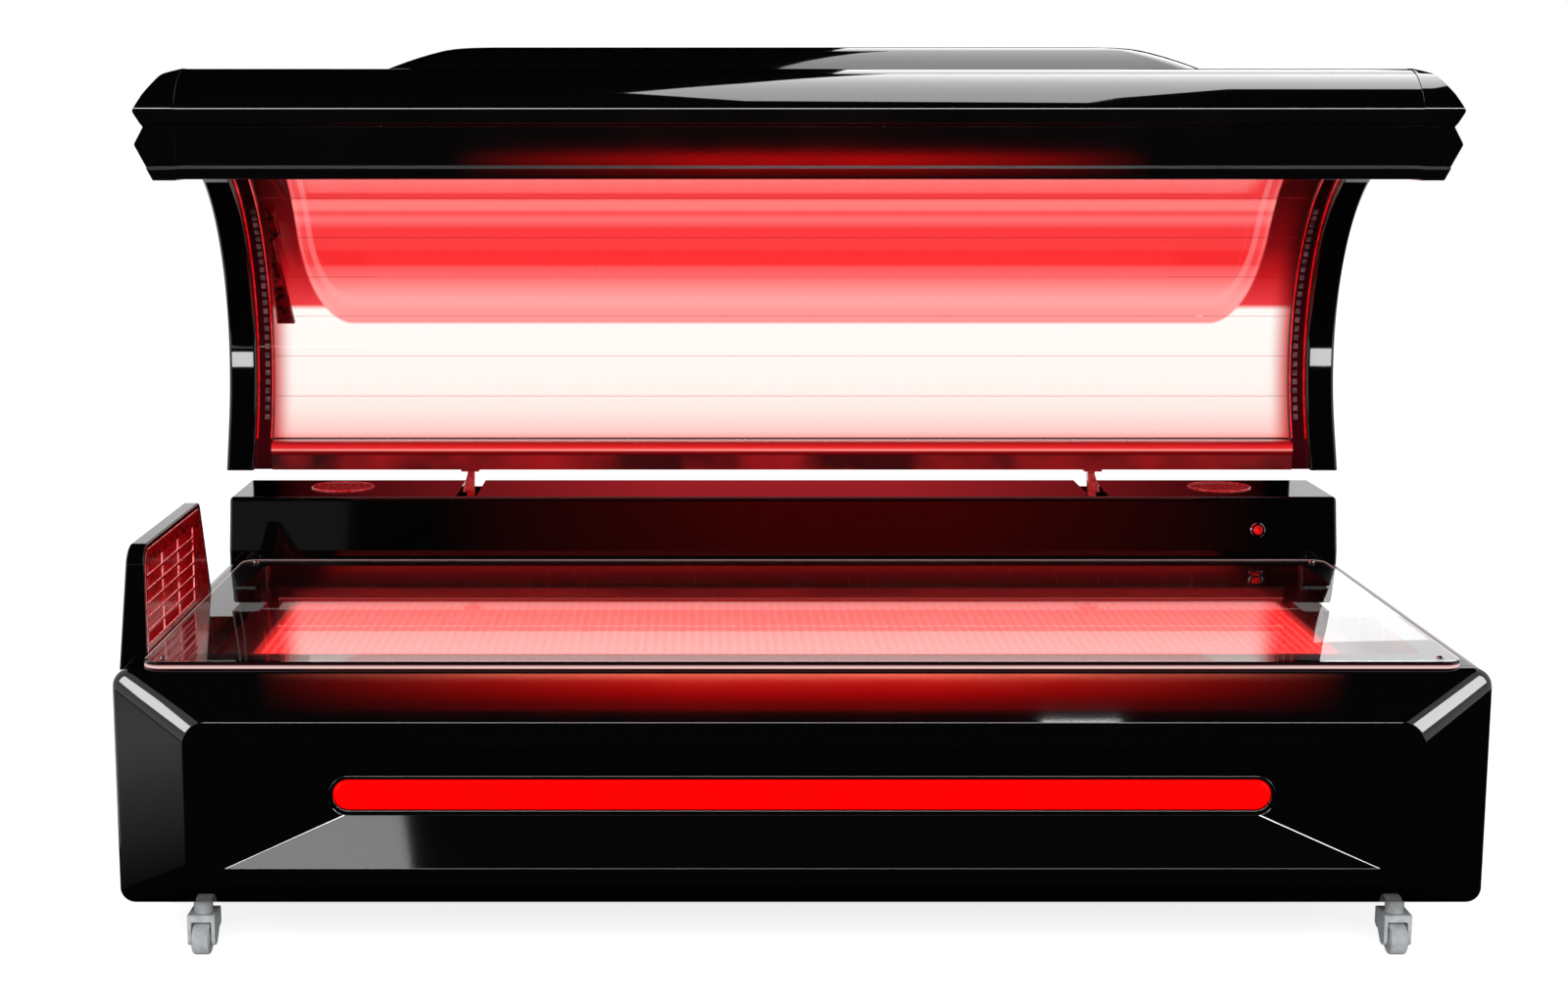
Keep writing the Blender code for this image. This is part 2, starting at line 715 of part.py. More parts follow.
def floor_pan():
    """Sheet floor that lies on the lips of the covers, with holes for the caster necks."""
    half = END_X - BOTTOM_EDGE_RADIUS - GAP
    front = RIM_Y + WALL + GAP
    rear = REAR_Y - REAR_INSET - WALL - GAP
    shape = box((-half, front, PAN_BOTTOM), (half, rear, PAN_BOTTOM + SHEET))
    hole = NECK_RADIUS + WALL
    low, high = PAN_BOTTOM - SHEET, PAN_BOTTOM + 2 * SHEET
    holes = [prism(circle(hole, SMALL_STEPS, place), "Z", low, high) for place in caster_places()]
    add_part("floor_pan", carve(shape, joined(holes)), "painted_steel")


def caster_places():
    """Where the four casters stand."""
    return [(side * CASTER_X, end * CASTER_Y) for end in (-1, 1) for side in (-1, 1)]


def chassis_frame():
    """Welded ladder of square tube, with posts under the bed's rim and a rail under the console."""
    half = TUBE / 2
    end = END_X - CHASSIS_END_INSET
    low, top = CHASSIS_BOTTOM, CHASSIS_TOP
    tubes = []
    for y in (-CASTER_Y, CASTER_Y):
        tubes.append(box((-end, y - half, low), (end, y + half, top)))
    for x in (-CASTER_X, -HINGE_X, HINGE_X, CASTER_X):
        tubes.append(box((x - half, -CASTER_Y, low), (x + half, CASTER_Y, top)))
    post_y = RIM_FRONT_Y + RIM_WIDTH / 2
    rail_top = BASE_TOP - GAP
    rail_front = CONSOLE_FRONT_Y + GAP
    rail_rear = rail_front + CONSOLE_RAIL_DEPTH
    for x in (-CASTER_X, CASTER_X):
        tubes.append(box((x - half, post_y - half, low + half), (x + half, post_y + half, RIM_BOTTOM - GAP)))
        tubes.append(box((x - half, rail_front, low + half), (x + half, rail_rear, rail_top - half)))
    rail_end = CASTER_X + half
    tubes.append(box((-rail_end, rail_front, rail_top - TUBE), (rail_end, rail_rear, rail_top)))
    shape = unite(tubes)
    hole = STEM_RADIUS + RUNNING_GAP
    depth = CHASSIS_BOTTOM + STEM_LENGTH + RUNNING_GAP
    holes = [prism(circle(hole, SMALL_STEPS, place), "Z", low - half, depth) for place in caster_places()]
    add_part("chassis_frame", carve(shape, joined(holes)), "painted_steel")


def lying_plate():
    """Rim, lit tray, light panel and the clear plate that a person lies on."""
    corner = RIM_CORNER_RADIUS
    outer = rectangle(RIM_OUTER_X, RIM_FRONT_Y, RIM_REAR_Y, corner, corner)
    hole_x = RIM_OUTER_X - RIM_WIDTH
    hole_front = RIM_FRONT_Y + RIM_WIDTH
    hole_rear = RIM_REAR_Y - RIM_WIDTH
    inner = rectangle(hole_x, hole_front, hole_rear, corner, corner)
    walls = ((outer, RIM_BOTTOM), (outer, BASE_TOP), (inner, BASE_TOP), (inner, RIM_BOTTOM))
    rings = [level(outline, z) for outline, z in walls]
    add_part("bed_rim", loft(rings, looped=True), "satin_black")

    def inset(distance):
        return rectangle(hole_x - distance, hole_front + distance, hole_rear - distance, corner, corner)

    tray_low = BASE_TOP - TRAY_DEPTH
    tray_top = BASE_TOP - SHEET
    tray = [
        level(inset(GAP), tray_low),
        level(inset(GAP), tray_top),
        level(inset(GAP + SHEET), tray_top),
        level(inset(GAP + SHEET), tray_low + SHEET),
    ]
    add_part("bed_reflector_tray", loft(tray), "painted_steel")
    panel_low = tray_low + SHEET + GAP
    panel = prism(inset(BED_PANEL_MARGIN), "Z", panel_low, panel_low + BED_PANEL_THICKNESS)
    add_part("bed_light_panel", panel, "light_panel")
    plate = rectangle(PLATE_LENGTH / 2, RIM_Y, PLATE_REAR_Y, PLATE_RADIUS, PLATE_RADIUS)
    add_part("bed_acrylic", prism(plate, "Z", PLATE_BOTTOM, PLATE_TOP), "clear_acrylic")


def power_supply():
    """Ribbed driver box on the chassis cross tube."""
    low = CHASSIS_TOP + GAP
    front = -SUPPLY_DEPTH / 2
    left = HINGE_X - SUPPLY_LENGTH / 2
    right = HINGE_X + SUPPLY_LENGTH / 2
    top = low + SUPPLY_HEIGHT
    outline = [(left, low), (right, low), (right, top)]
    root = top - SUPPLY_RIB_HEIGHT
    pitch = SUPPLY_LENGTH / SUPPLY_RIBS
    for index in range(SUPPLY_RIBS):
        edge = right - index * pitch
        face = edge - SUPPLY_RIB
        outline += [(face, top), (face, root), (edge - pitch, root), (edge - pitch, top)]
    add_part("power_supply", prism(outline[:-1], "Y", front, -front), "zinc_steel")


# Console


def console_outline():
    """Side view of the console, from its foot over the top to its back."""
    return fillet([
        (CONSOLE_FRONT_Y, PLATE_BOTTOM, 0),
        (CONSOLE_FRONT_Y, CONSOLE_CREASE_Z, 0),
        (CONSOLE_TOP_FRONT_Y, CONSOLE_TOP, CONSOLE_EDGE_RADIUS),
        (CONSOLE_TOP_REAR_Y, CONSOLE_TOP, CONSOLE_EDGE_RADIUS),
        (CONSOLE_REAR_Y, CONSOLE_TOP - CONSOLE_REAR_SHOULDER, CONSOLE_EDGE_RADIUS),
        (CONSOLE_REAR_Y, PLATE_BOTTOM, 0),
    ])


def button_frame():
    """Turns a piece made along +Z onto the console's leaning face, at the button."""
    y = CONSOLE_FRONT_Y + (BUTTON_Z - CONSOLE_CREASE_Z) * math.tan(CONSOLE_LEAN)
    return Matrix.Translation((BUTTON_X, y, BUTTON_Z)) @ Matrix.Rotation(math.pi / 2 - CONSOLE_LEAN, 4, "X")


def on_button_face(shape):
    """Move a piece made along +Z to the button's place."""
    bmesh.ops.transform(shape, matrix=button_frame(), verts=shape.verts[:])
    return shape


def console_housing():
    """Hollow tower with slots for the hinge arms, holes for the speakers and a hole for the button."""
    half = CONSOLE_LENGTH / 2
    full = console_outline()
    drawn_in = beside(full, -CONSOLE_END_BEVEL)
    stations = (
        (drawn_in, -half),
        (full, CONSOLE_END_BEVEL - half),
        (full, half - CONSOLE_END_BEVEL),
        (drawn_in, half),
    )
    shape = loft([[(x, y, z) for y, z in outline] for outline, x in stations])
    room = beside(console_outline(), -WALL)
    room[0] = (room[0][0], PLATE_BOTTOM - WALL)
    room[-1] = (room[-1][0], PLATE_BOTTOM - WALL)
    wall = carve(shape, prism(room, "X", WALL - half, half - WALL))
    holes = []
    for side in (-1, 1):
        left = side * HINGE_X - ARM_SLOT_WIDTH / 2
        right = left + ARM_SLOT_WIDTH
        low = CONSOLE_TOP - CONSOLE_REAR_SHOULDER / 2
        holes.append(box((left, ARM_SLOT_FRONT_Y, low), (right, CONSOLE_REAR_Y, CONSOLE_TOP + WALL)))
        speaker = circle(SPEAKER_HOLE_RADIUS, ROUND_STEPS, (side * SPEAKER_X, SPEAKER_Y))
        holes.append(prism(speaker, "Z", CONSOLE_TOP - 2 * WALL, CONSOLE_TOP + WALL))
    barrel = circle(BUTTON_BARREL_RADIUS + GAP)
    holes.append(on_button_face(prism(barrel, "Z", -2 * WALL, 2 * WALL)))
    add_part("console_housing", carve(wall, joined(holes)), "gloss_black")


def speakers():
    """A ribbed round grille on top of each end of the console and a driver under it."""
    spigot = SPEAKER_HOLE_RADIUS - GAP
    top = CONSOLE_TOP + GAP
    crest = top + SPEAKER_RIM
    for side, word in ((-1, "left"), (1, "right")):
        profile = [
            (spigot, CONSOLE_TOP - WALL),
            (spigot, top),
            (SPEAKER_RADIUS, top),
            (SPEAKER_RADIUS - SPEAKER_RIB_SLOPE, crest),
        ]
        pitch = SPEAKER_HOLE_RADIUS / (SPEAKER_RIBS + 0.5)
        for index in range(SPEAKER_RIBS):
            outer = SPEAKER_HOLE_RADIUS - index * pitch
            inner = outer - pitch / 2
            profile += [(outer, crest), (outer - SPEAKER_RIB_SLOPE, top)]
            profile += [(inner, top), (inner - SPEAKER_RIB_SLOPE, crest)]
        place = (side * SPEAKER_X, SPEAKER_Y, 0)
        add_part(f"{word}_speaker_grille", turned(profile, "Z", place), "satin_black", smooth=True)
        seat = CONSOLE_TOP - WALL - GAP
        magnet = SPEAKER_RADIUS / 2
        driver = [
            (magnet, seat - SPEAKER_DEPTH),
            (magnet, seat - SPEAKER_DEPTH / 2),
            (SPEAKER_RADIUS - WALL, seat - WALL),
            (SPEAKER_RADIUS, seat - WALL),
            (SPEAKER_RADIUS, seat),
            (SPEAKER_HOLE_RADIUS, seat),
            (magnet, seat - SPEAKER_DEPTH / 3),
        ]
        add_part(f"{word}_speaker_driver", turned(driver, "Z", place), "satin_black", smooth=True)


def start_button():
    """Lit push button that slides in a chromed ring with a barrel behind the panel."""
    inner = BUTTON_RADIUS + RUNNING_GAP
    ring = [
        (inner, BUTTON_LIP),
        (inner, -BUTTON_BARREL_LENGTH),
        (BUTTON_BARREL_RADIUS, -BUTTON_BARREL_LENGTH),
        (BUTTON_BARREL_RADIUS, GAP),
        (BUTTON_RING_RADIUS, GAP),
        (BUTTON_RING_RADIUS, BUTTON_LIP - BUTTON_EDGE),
        (BUTTON_RING_RADIUS - BUTTON_EDGE, BUTTON_LIP),
    ]
    shape = on_button_face(turned(ring, "Z", (0, 0, 0), looped=True))
    add_part("start_button_ring", shape, "chrome", smooth=True)
    front = BUTTON_LIP + BUTTON_TRAVEL
    cap = [
        (BUTTON_RADIUS, -BUTTON_BARREL_LENGTH + 2 * BUTTON_TRAVEL),
        (BUTTON_RADIUS, front - BUTTON_EDGE),
        (BUTTON_RADIUS - BUTTON_EDGE, front),
    ]
    place = button_frame().translation
    shape = on_button_face(turned(cap, "Z", (0, 0, 0)))
    add_part("start_button", shape, "red_lens", origin=place, smooth=True)


# Air outlet and fan


def vent_outline(inset, low):
    """Side view of the outlet, drawn in by an even margin."""
    lean = (VENT_REAR_Y - VENT_TOP_REAR_Y) / (VENT_TOP - BASE_TOP)
    slant = math.hypot(1, lean)
    top = VENT_TOP - inset

    def rear(z):
        return VENT_REAR_Y - (z - BASE_TOP) * lean - inset * slant

    return fillet([
        (VENT_FRONT_Y + inset, low, 0),
        (rear(low), low, 0),
        (rear(top), top, VENT_FRONT_RADIUS / 2),
        (VENT_FRONT_Y + inset, top, VENT_FRONT_RADIUS - inset / 2),
    ])


def vent_housing():
    """Wedge-shaped hollow panel that stands on the rounded edge of the left end."""
    low = BASE_TOP - TOP_EDGE_RADIUS / 2
    shape = prism(vent_outline(0, low), "X", -END_X, -VENT_INNER_X)
    for vert in shape.verts:
        if vert.co.x < -END_X + GAP:
            vert.co.x += (vert.co.z - low) * VENT_LEAN
    edge = prism(base_outline(GAP), "Y", 2 * VENT_FRONT_Y, VENT_REAR_Y - VENT_FRONT_Y)
    shape = carve(shape, edge)
    pocket = vent_outline(VENT_BORDER, BASE_TOP + VENT_BORDER)
    shape = carve(shape, prism(pocket, "X", -VENT_INNER_X - VENT_CAVITY, -VENT_INNER_X + WALL))
    add_part("vent_housing", carve(shape, vent_duct()), "gloss_black")


def vent_grille():
    """Grille of upright and level bars in the mouth of the outlet."""
    outline = vent_outline(VENT_BORDER + GAP, BASE_TOP + VENT_BORDER + GAP)
    back = -VENT_INNER_X - VENT_GRILLE_THICKNESS
    shape = prism(outline, "X", back, -VENT_INNER_X)
    first_y = VENT_FRONT_Y + VENT_BORDER + 2 * VENT_BAR
    holes = []
    for column in range(VENT_COLUMNS):
        for row in range(VENT_ROWS):
            y = first_y + column * VENT_COLUMN_PITCH
            z = VENT_FIRST_Z + row * VENT_ROW_PITCH
            far = (-VENT_INNER_X + WALL, y + VENT_COLUMN_PITCH - VENT_BAR, z + VENT_ROW_PITCH - VENT_BAR)
            holes.append(box((back - WALL, y, z), far))
    add_part("vent_grille", carve(shape, joined(holes)), "gloss_black")


def cross_flow_fan():
    """Bladed drum in an open frame that hangs under the rim, below the outlet."""
    half = FAN_FRAME_SIZE / 2
    top = RIM_BOTTOM - GAP
    middle = top - half
    rear = FAN_FRONT_Y + FAN_LENGTH
    frame = box((-FAN_X - half, FAN_FRONT_Y, top - FAN_FRAME_SIZE), (-FAN_X + half, rear, top))
    end = 3 * SHEET
    room = box(
        (-FAN_X - half + SHEET, FAN_FRONT_Y + end, top - FAN_FRAME_SIZE + SHEET),
        (-FAN_X + half + SHEET, rear - end, top - SHEET),
    )
    outlet = box(
        (-FAN_X - half + SHEET, FAN_FRONT_Y + end, top - 2 * SHEET),
        (-RIM_OUTER_X - GAP, rear - end, top + SHEET),
    )
    bore = prism(
        circle(FAN_SHAFT_RADIUS + RUNNING_GAP, SMALL_STEPS, (-FAN_X, middle)),
        "Y",
        FAN_FRONT_Y - end,
        rear + end,
    )
    frame = carve(carve(carve(frame, room), outlet), bore)
    add_part("fan_frame", frame, "painted_steel")
    drum = []
    tooth = ((0, FAN_CORE_RADIUS), (0.35, FAN_RADIUS), (0.6, FAN_RADIUS), (0.75, FAN_CORE_RADIUS))
    for blade in range(FAN_BLADES):
        for share, reach in tooth:
            angle = 2 * math.pi * (blade + share) / FAN_BLADES
            drum.append((-FAN_X + reach * math.cos(angle), middle + reach * math.sin(angle)))
    drum_end = end + 2 * RUNNING_GAP
    blades = prism(drum, "Y", FAN_FRONT_Y + drum_end, rear - drum_end)
    shaft = prism(circle(FAN_SHAFT_RADIUS, SMALL_STEPS, (-FAN_X, middle)), "Y", FAN_FRONT_Y, rear)
    axis = (-FAN_X, FAN_FRONT_Y, middle)
    add_part("fan_rotor", unite([blades, shaft]), "satin_black", origin=axis)


# Hinge, arms and gas springs


def crank_place(closing=0.0):
    """Where the crank pin stands, as (y, z), with the canopy closed by an angle in degrees."""
    angle = math.radians(CRANK_ANGLE + closing)
    return HINGE_Y + CRANK_RADIUS * math.cos(angle), HINGE_Z + CRANK_RADIUS * math.sin(angle)


def capsule(start, end, radius, steps=SMALL_STEPS):
    """Outline of a bar with round ends between two points."""
    run = Vector(end) - Vector(start)
    heading = math.atan2(run.y, run.x)
    half = steps // 2
    points = []
    for centre, first in ((start, math.pi / 2), (end, -math.pi / 2)):
        for step in range(half + 1):
            angle = heading + first + math.pi * step / half
            points.append((centre[0] + radius * math.cos(angle), centre[1] + radius * math.sin(angle)))
    return points


def sided(shape, side):
    """The shape as made for the right side, or its mirror image for the left."""
    return shape if side > 0 else mirrored(shape)


def hinge_bracket(side, word):
    """Forked steel post on the chassis that holds the hinge pin."""
    inside = ARM_THICKNESS / 2 + RUNNING_GAP
    outside = inside + CHEEK
    low = CHASSIS_TOP + GAP
    floor = low + BRACKET_BASE
    eye = PIN_RADIUS + 2 * CHEEK
    top = HINGE_Z + eye
    fork = [
        (HINGE_X - outside, low),
        (HINGE_X + outside, low),
        (HINGE_X + outside, top),
        (HINGE_X + inside, top),
        (HINGE_X + inside, floor),
        (HINGE_X - inside, floor),
        (HINGE_X - inside, top),
        (HINGE_X - outside, top),
    ]
    shape = prism(fork, "Y", HINGE_Y - BRACKET_DEPTH, HINGE_Y + BRACKET_DEPTH)
    half = BRACKET_DEPTH / 2
    profile = fillet([
        (HINGE_Y - half, low - GAP, 0),
        (HINGE_Y + half, low - GAP, 0),
        (HINGE_Y + eye, top + GAP, eye * 0.9),
        (HINGE_Y - eye, top + GAP, eye * 0.9),
    ])
    near, far = HINGE_X - 2 * outside, HINGE_X + 2 * outside
    shape = carve(shape, prism(profile, "X", near, far), "INTERSECT")
    bore = circle(PIN_RADIUS + GAP, ROUND_STEPS, (HINGE_Y, HINGE_Z))
    shape = carve(shape, prism(bore, "X", near, far))
    add_part(f"{word}_hinge_bracket", sided(shape, side), "zinc_steel")
    head = PIN_RADIUS + WALL
    profile = [
        (head, outside + GAP + PIN_HEAD_LENGTH),
        (head, outside + GAP),
        (PIN_RADIUS, outside + GAP),
        (PIN_RADIUS, -outside - PIN_HEAD_LENGTH),
    ]
    pin = turned(profile, "X", (HINGE_X, HINGE_Y, HINGE_Z))
    add_part(f"{word}_hinge_pin", sided(pin, side), "chrome", smooth=True)


def hinge_arm(side, word, canopy):
    """Arm from the hinge pin up to the canopy, with a crank and pin that the gas spring pushes."""
    half = ARM_THICKNESS / 2
    low_x, high_x = HINGE_X - half, HINGE_X + half
    crank_radius = CRANK_PIN_RADIUS * 2.5
    foot_top = CANOPY_BOTTOM - GAP
    foot_low = foot_top - ARM_FLANGE_THICKNESS
    foot_y = ARM_FOOT_Y
    eye = prism(circle(ARM_EYE_RADIUS, ROUND_STEPS, (HINGE_Y, HINGE_Z)), "X", low_x, high_x)
    crank = prism(capsule((HINGE_Y, HINGE_Z), crank_place(), crank_radius), "X", low_x, high_x)
    neck_half = ARM_EYE_RADIUS / 2
    neck = prism(capsule((HINGE_Y, HINGE_Z), (foot_y, foot_low - neck_half), neck_half), "X", low_x, high_x)
    post_low = (low_x, foot_y - neck_half, foot_low - neck_half)
    post = box(post_low, (high_x, foot_y + neck_half, foot_low + GAP))
    foot = box(
        (HINGE_X - ARM_FLANGE_WIDTH / 2, foot_y - ARM_FLANGE_LENGTH / 2, foot_low),
        (HINGE_X + ARM_FLANGE_WIDTH / 2, foot_y + ARM_FLANGE_LENGTH / 2, foot_top),
    )
    pin = prism(circle(CRANK_PIN_RADIUS, SMALL_STEPS, crank_place()), "X", HINGE_X, high_x + CRANK_PIN_LENGTH)
    shape = unite([eye, crank, neck, post, foot, pin])
    bore = circle(PIN_RADIUS + RUNNING_GAP, ROUND_STEPS, (HINGE_Y, HINGE_Z))
    shape = carve(shape, prism(bore, "X", low_x - half, high_x + half))
    place = (side * HINGE_X, HINGE_Y, HINGE_Z)
    add_part(f"{word}_hinge_arm", sided(shape, side), "chrome", canopy, place)


def gas_spring(side, word):
    """Cylinder on the chassis and the rod whose slotted eye takes the crank pin."""
    eye_low = HINGE_X + ARM_THICKNESS / 2 + GAP
    rod_x = eye_low + ROD_EYE_THICKNESS / 2
    pin_y, pin_z = crank_place()
    swing = CRANK_RADIUS + (pin_y - HINGE_Y)
    rod_y = pin_y - swing / 2
    slot_half = swing / 2 + RUNNING_GAP
    reach = slot_half + ROD_SLOT
    start, end = (rod_y - reach, pin_z), (rod_y + reach, pin_z)
    plate = prism(capsule(start, end, ROD_EYE_RADIUS), "X", eye_low, eye_low + ROD_EYE_THICKNESS)
    rod_low = pin_z - ROD_LENGTH
    rod = prism(circle(ROD_RADIUS, SMALL_STEPS, (rod_x, rod_y)), "Z", rod_low, pin_z - ROD_EYE_RADIUS / 2)
    shape = unite([plate, rod])
    slot = capsule(start, end, CRANK_PIN_RADIUS + RUNNING_GAP)
    shape = carve(shape, prism(slot, "X", eye_low - WALL, eye_low + ROD_EYE_THICKNESS + WALL))
    place = (side * rod_x, rod_y, rod_low)
    add_part(f"{word}_gas_rod", sided(shape, side), "chrome", origin=place)
    bore = ROD_RADIUS + RUNNING_GAP
    floor = rod_low - 2 * CRANK_RADIUS * abs(math.sin(math.radians(CRANK_ANGLE))) - WALL
    profile = [
        (CYLINDER_RADIUS, CHASSIS_TOP + GAP),
        (CYLINDER_RADIUS, CYLINDER_TOP),
        (bore, CYLINDER_TOP),
        (bore, floor),
    ]
    body = turned(profile, "Z", (rod_x, rod_y, 0), SMALL_STEPS)
    add_part(f"{word}_gas_cylinder", sided(body, side), "satin_black", smooth=True)


# Canopy


def lower_y(depth, z):
    """Where the straight lower part of the canopy stands at a height, at a depth behind its front edge."""
    angle = math.radians(CANOPY_LOW_ANGLE)
    reach = CANOPY_RADIUS + depth
    along = (CANOPY_CENTRE_Z + reach * math.sin(angle) - z) / math.cos(angle)
    return CANOPY_CENTRE_Y + reach * math.cos(angle) + along * math.sin(angle)


def canopy_sweep(section, bottom=None, front=None, low=CANOPY_LOW_ANGLE, high=90.0, steps=ARC_STEPS):
    """Carry a section of (x, depth) points round the canopy's arc, between two angles in degrees.

    A bottom height adds the straight lower part, and a front depth adds the level upper part.
    """
    rings = []
    if bottom is not None:
        rings.append([(x, lower_y(depth, bottom), bottom) for x, depth in section])
    for step in range(steps + 1):
        angle = math.radians(low + (high - low) * step / steps)
        ring = []
        for x, depth in section:
            reach = CANOPY_RADIUS + depth
            across = CANOPY_CENTRE_Y + reach * math.cos(angle)
            ring.append((x, across, CANOPY_CENTRE_Z + reach * math.sin(angle)))
        rings.append(ring)
    if front is not None:
        rings.append([(x, front, CANOPY_CENTRE_Z + CANOPY_RADIUS + depth) for x, depth in section])
    return loft(rings)


def layer(half_width, depth, thickness):
    """Section of a sheet that spans the canopy."""
    return [
        (-half_width, depth),
        (half_width, depth),
        (half_width, depth + thickness),
        (-half_width, depth + thickness),
    ]


def canopy_layers(canopy, place):
    """Outer shell, light panels and the curved acrylic in front of them."""
    shell_x = FRAME_INNER_X - GAP
    shell = canopy_sweep(layer(shell_x, CANOPY_DEPTH - WALL, WALL), CANOPY_BOTTOM, CANOPY_FRONT_Y)
    add_part("canopy_shell", shell, "gloss_black", canopy, place, smooth=True)
    sheet = layer(shell_x, ACRYLIC_FRONT, ACRYLIC_THICKNESS)
    acrylic = canopy_sweep(sheet, RAIL_TOP + GAP, CANOPY_FRONT_Y)
    add_part("canopy_acrylic", acrylic, "clear_acrylic", canopy, place, smooth=True)
    board = layer(shell_x, CANOPY_PANEL_FRONT, CANOPY_PANEL_THICKNESS)
    seam = math.degrees(GAP / CANOPY_RADIUS)
    half_steps = ARC_STEPS // 2
    lower = canopy_sweep(board, RAIL_TOP, None, high=CANOPY_PANEL_SPLIT - seam, steps=half_steps)
    add_part("canopy_light_panel_lower", lower, "light_panel", canopy, place, smooth=True)
    upper = canopy_sweep(board, None, CANOPY_FRONT_Y, low=CANOPY_PANEL_SPLIT, steps=half_steps)
    add_part("canopy_light_panel_upper", upper, "light_panel", canopy, place, smooth=True)


def canopy_end_frames(canopy, place):
    """Arc-shaped end frames with a flange that the acrylic and its trim sit on."""
    flange_back = FLANGE_FRONT + FLANGE_THICKNESS
    section = [
        (END_X - FRAME_CHAMFER, 0),
        (END_X, FRAME_CHAMFER),
        (END_X, CANOPY_DEPTH),
        (FRAME_INNER_X, CANOPY_DEPTH),
        (FRAME_INNER_X, flange_back),
        (FLANGE_INNER_X, flange_back),
        (FLANGE_INNER_X, FLANGE_FRONT),
        (FRAME_INNER_X, FLANGE_FRONT),
        (FRAME_INNER_X, FRAME_CHAMFER),
        (FRAME_INNER_X + FRAME_CHAMFER, 0),
    ]
    for side, word in ((-1, "left"), (1, "right")):
        shape = sided(canopy_sweep(section, CANOPY_BOTTOM, CANOPY_FRONT_Y), side)
        add_part(f"{word}_canopy_end_frame", shape, "gloss_black", canopy, place, smooth=True)


def canopy_foot(canopy, place):
    """Lower rail that the arms are bolted to, and the perforated strip on its front."""
    half = FLANGE_INNER_X - GAP
    back = CANOPY_DEPTH - WALL
    acrylic_back = ACRYLIC_FRONT + ACRYLIC_THICKNESS
    strip_back = STRIP_Y + STRIP_THICKNESS
    nose_back = lower_y(acrylic_back, RAIL_TOP) + WALL
    outline = fillet([
        (strip_back + GAP, CANOPY_BOTTOM, 0),
        (lower_y(back, CANOPY_BOTTOM) - 2 * GAP, CANOPY_BOTTOM, 0),
        (lower_y(back, RAIL_STEP_Z) - 2 * GAP, RAIL_STEP_Z, 0),
        (nose_back, RAIL_STEP_Z + RAIL_EDGE, 0),
        (nose_back, RAIL_TOP, 0),
        (RAIL_NOSE_Y, RAIL_TOP, RAIL_EDGE),
        (RAIL_NOSE_Y, RAIL_STEP_Z, RAIL_EDGE),
        (strip_back + GAP, RAIL_STEP_Z, 0),
    ])
    add_part("canopy_lower_rail", prism(outline, "X", -half, half), "gloss_black", canopy, place)
    strip = box((-half, STRIP_Y, CANOPY_BOTTOM), (half, strip_back, RAIL_STEP_Z - GAP))
    add_part("perforated_strip", strip, "red_lens", canopy, place)


def beam_path():
    """Outer section of the beam, from its top rear edge over the front to its bottom rear edge."""
    rear = CANOPY_FRONT_Y - GAP
    brow_y = (BEAM_CROWN_Y + BEAM_FRONT_Y) / 2
    return fillet([
        (rear, BEAM_REAR_TOP, 0),
        (BEAM_CROWN_Y, BEAM_TOP, BEAM_CROWN_RADIUS),
        (brow_y, BEAM_TOP - BEAM_BROW_DROP, BEAM_BROW_RADIUS),
        (BEAM_FRONT_Y, BEAM_CREASE_Z, BEAM_EDGE),
        (BEAM_FRONT_Y, BEAM_STEP_Z, 0),
        (BEAM_FRONT_Y + BEAM_STEP, BEAM_STEP_Z - BEAM_STEP, 0),
        (BEAM_FRONT_Y + BEAM_STEP, BEAM_LIP_Z, 0),
        (BEAM_FRONT_Y, BEAM_LIP_Z - BEAM_STEP, 0),
        (BEAM_FRONT_Y, BEAM_BOTTOM, BEAM_EDGE),
        (rear, BEAM_BOTTOM, 0),
    ])


def canopy_beam(canopy, place):
    """Hollow front beam, and an end cap with a waist groove on each end."""
    half = BEAM_LENGTH / 2
    beam = prism(ribbon(beam_path(), WALL), "X", -half, half)
    add_part("canopy_beam", beam, "gloss_black", canopy, place, smooth=True)
    seam = half + GAP
    tip = seam + CAP_LENGTH
    groove, round_edge = CAP_GROOVE, CAP_EDGE_RADIUS
    groove_z = BEAM_STEP_Z - BEAM_STEP
    low = BEAM_BOTTOM - WALL
    high = BEAM_TOP + WALL
    outline = fillet([
        (seam, low, 0),
        (tip - 2 * groove, low, 0),
        (tip, groove_z - 1.8 * groove, round_edge),
        (tip - groove, groove_z, round_edge / 2),
        (tip, groove_z + 1.6 * groove, round_edge),
        (tip - groove, BEAM_TOP - 2 * groove, 2 * round_edge),
        (tip - 2.5 * groove, high, 0),
        (seam, high, 0),
    ])
    for side, word in ((-1, "left"), (1, "right")):
        cap = prism(outline, "Y", BEAM_FRONT_Y - WALL, CANOPY_FRONT_Y + WALL)
        cap = carve(cap, prism(beam_path(), "X", half, tip + WALL), "INTERSECT")
        add_part(f"{word}_beam_cap", sided(cap, side), "gloss_black", canopy, place)


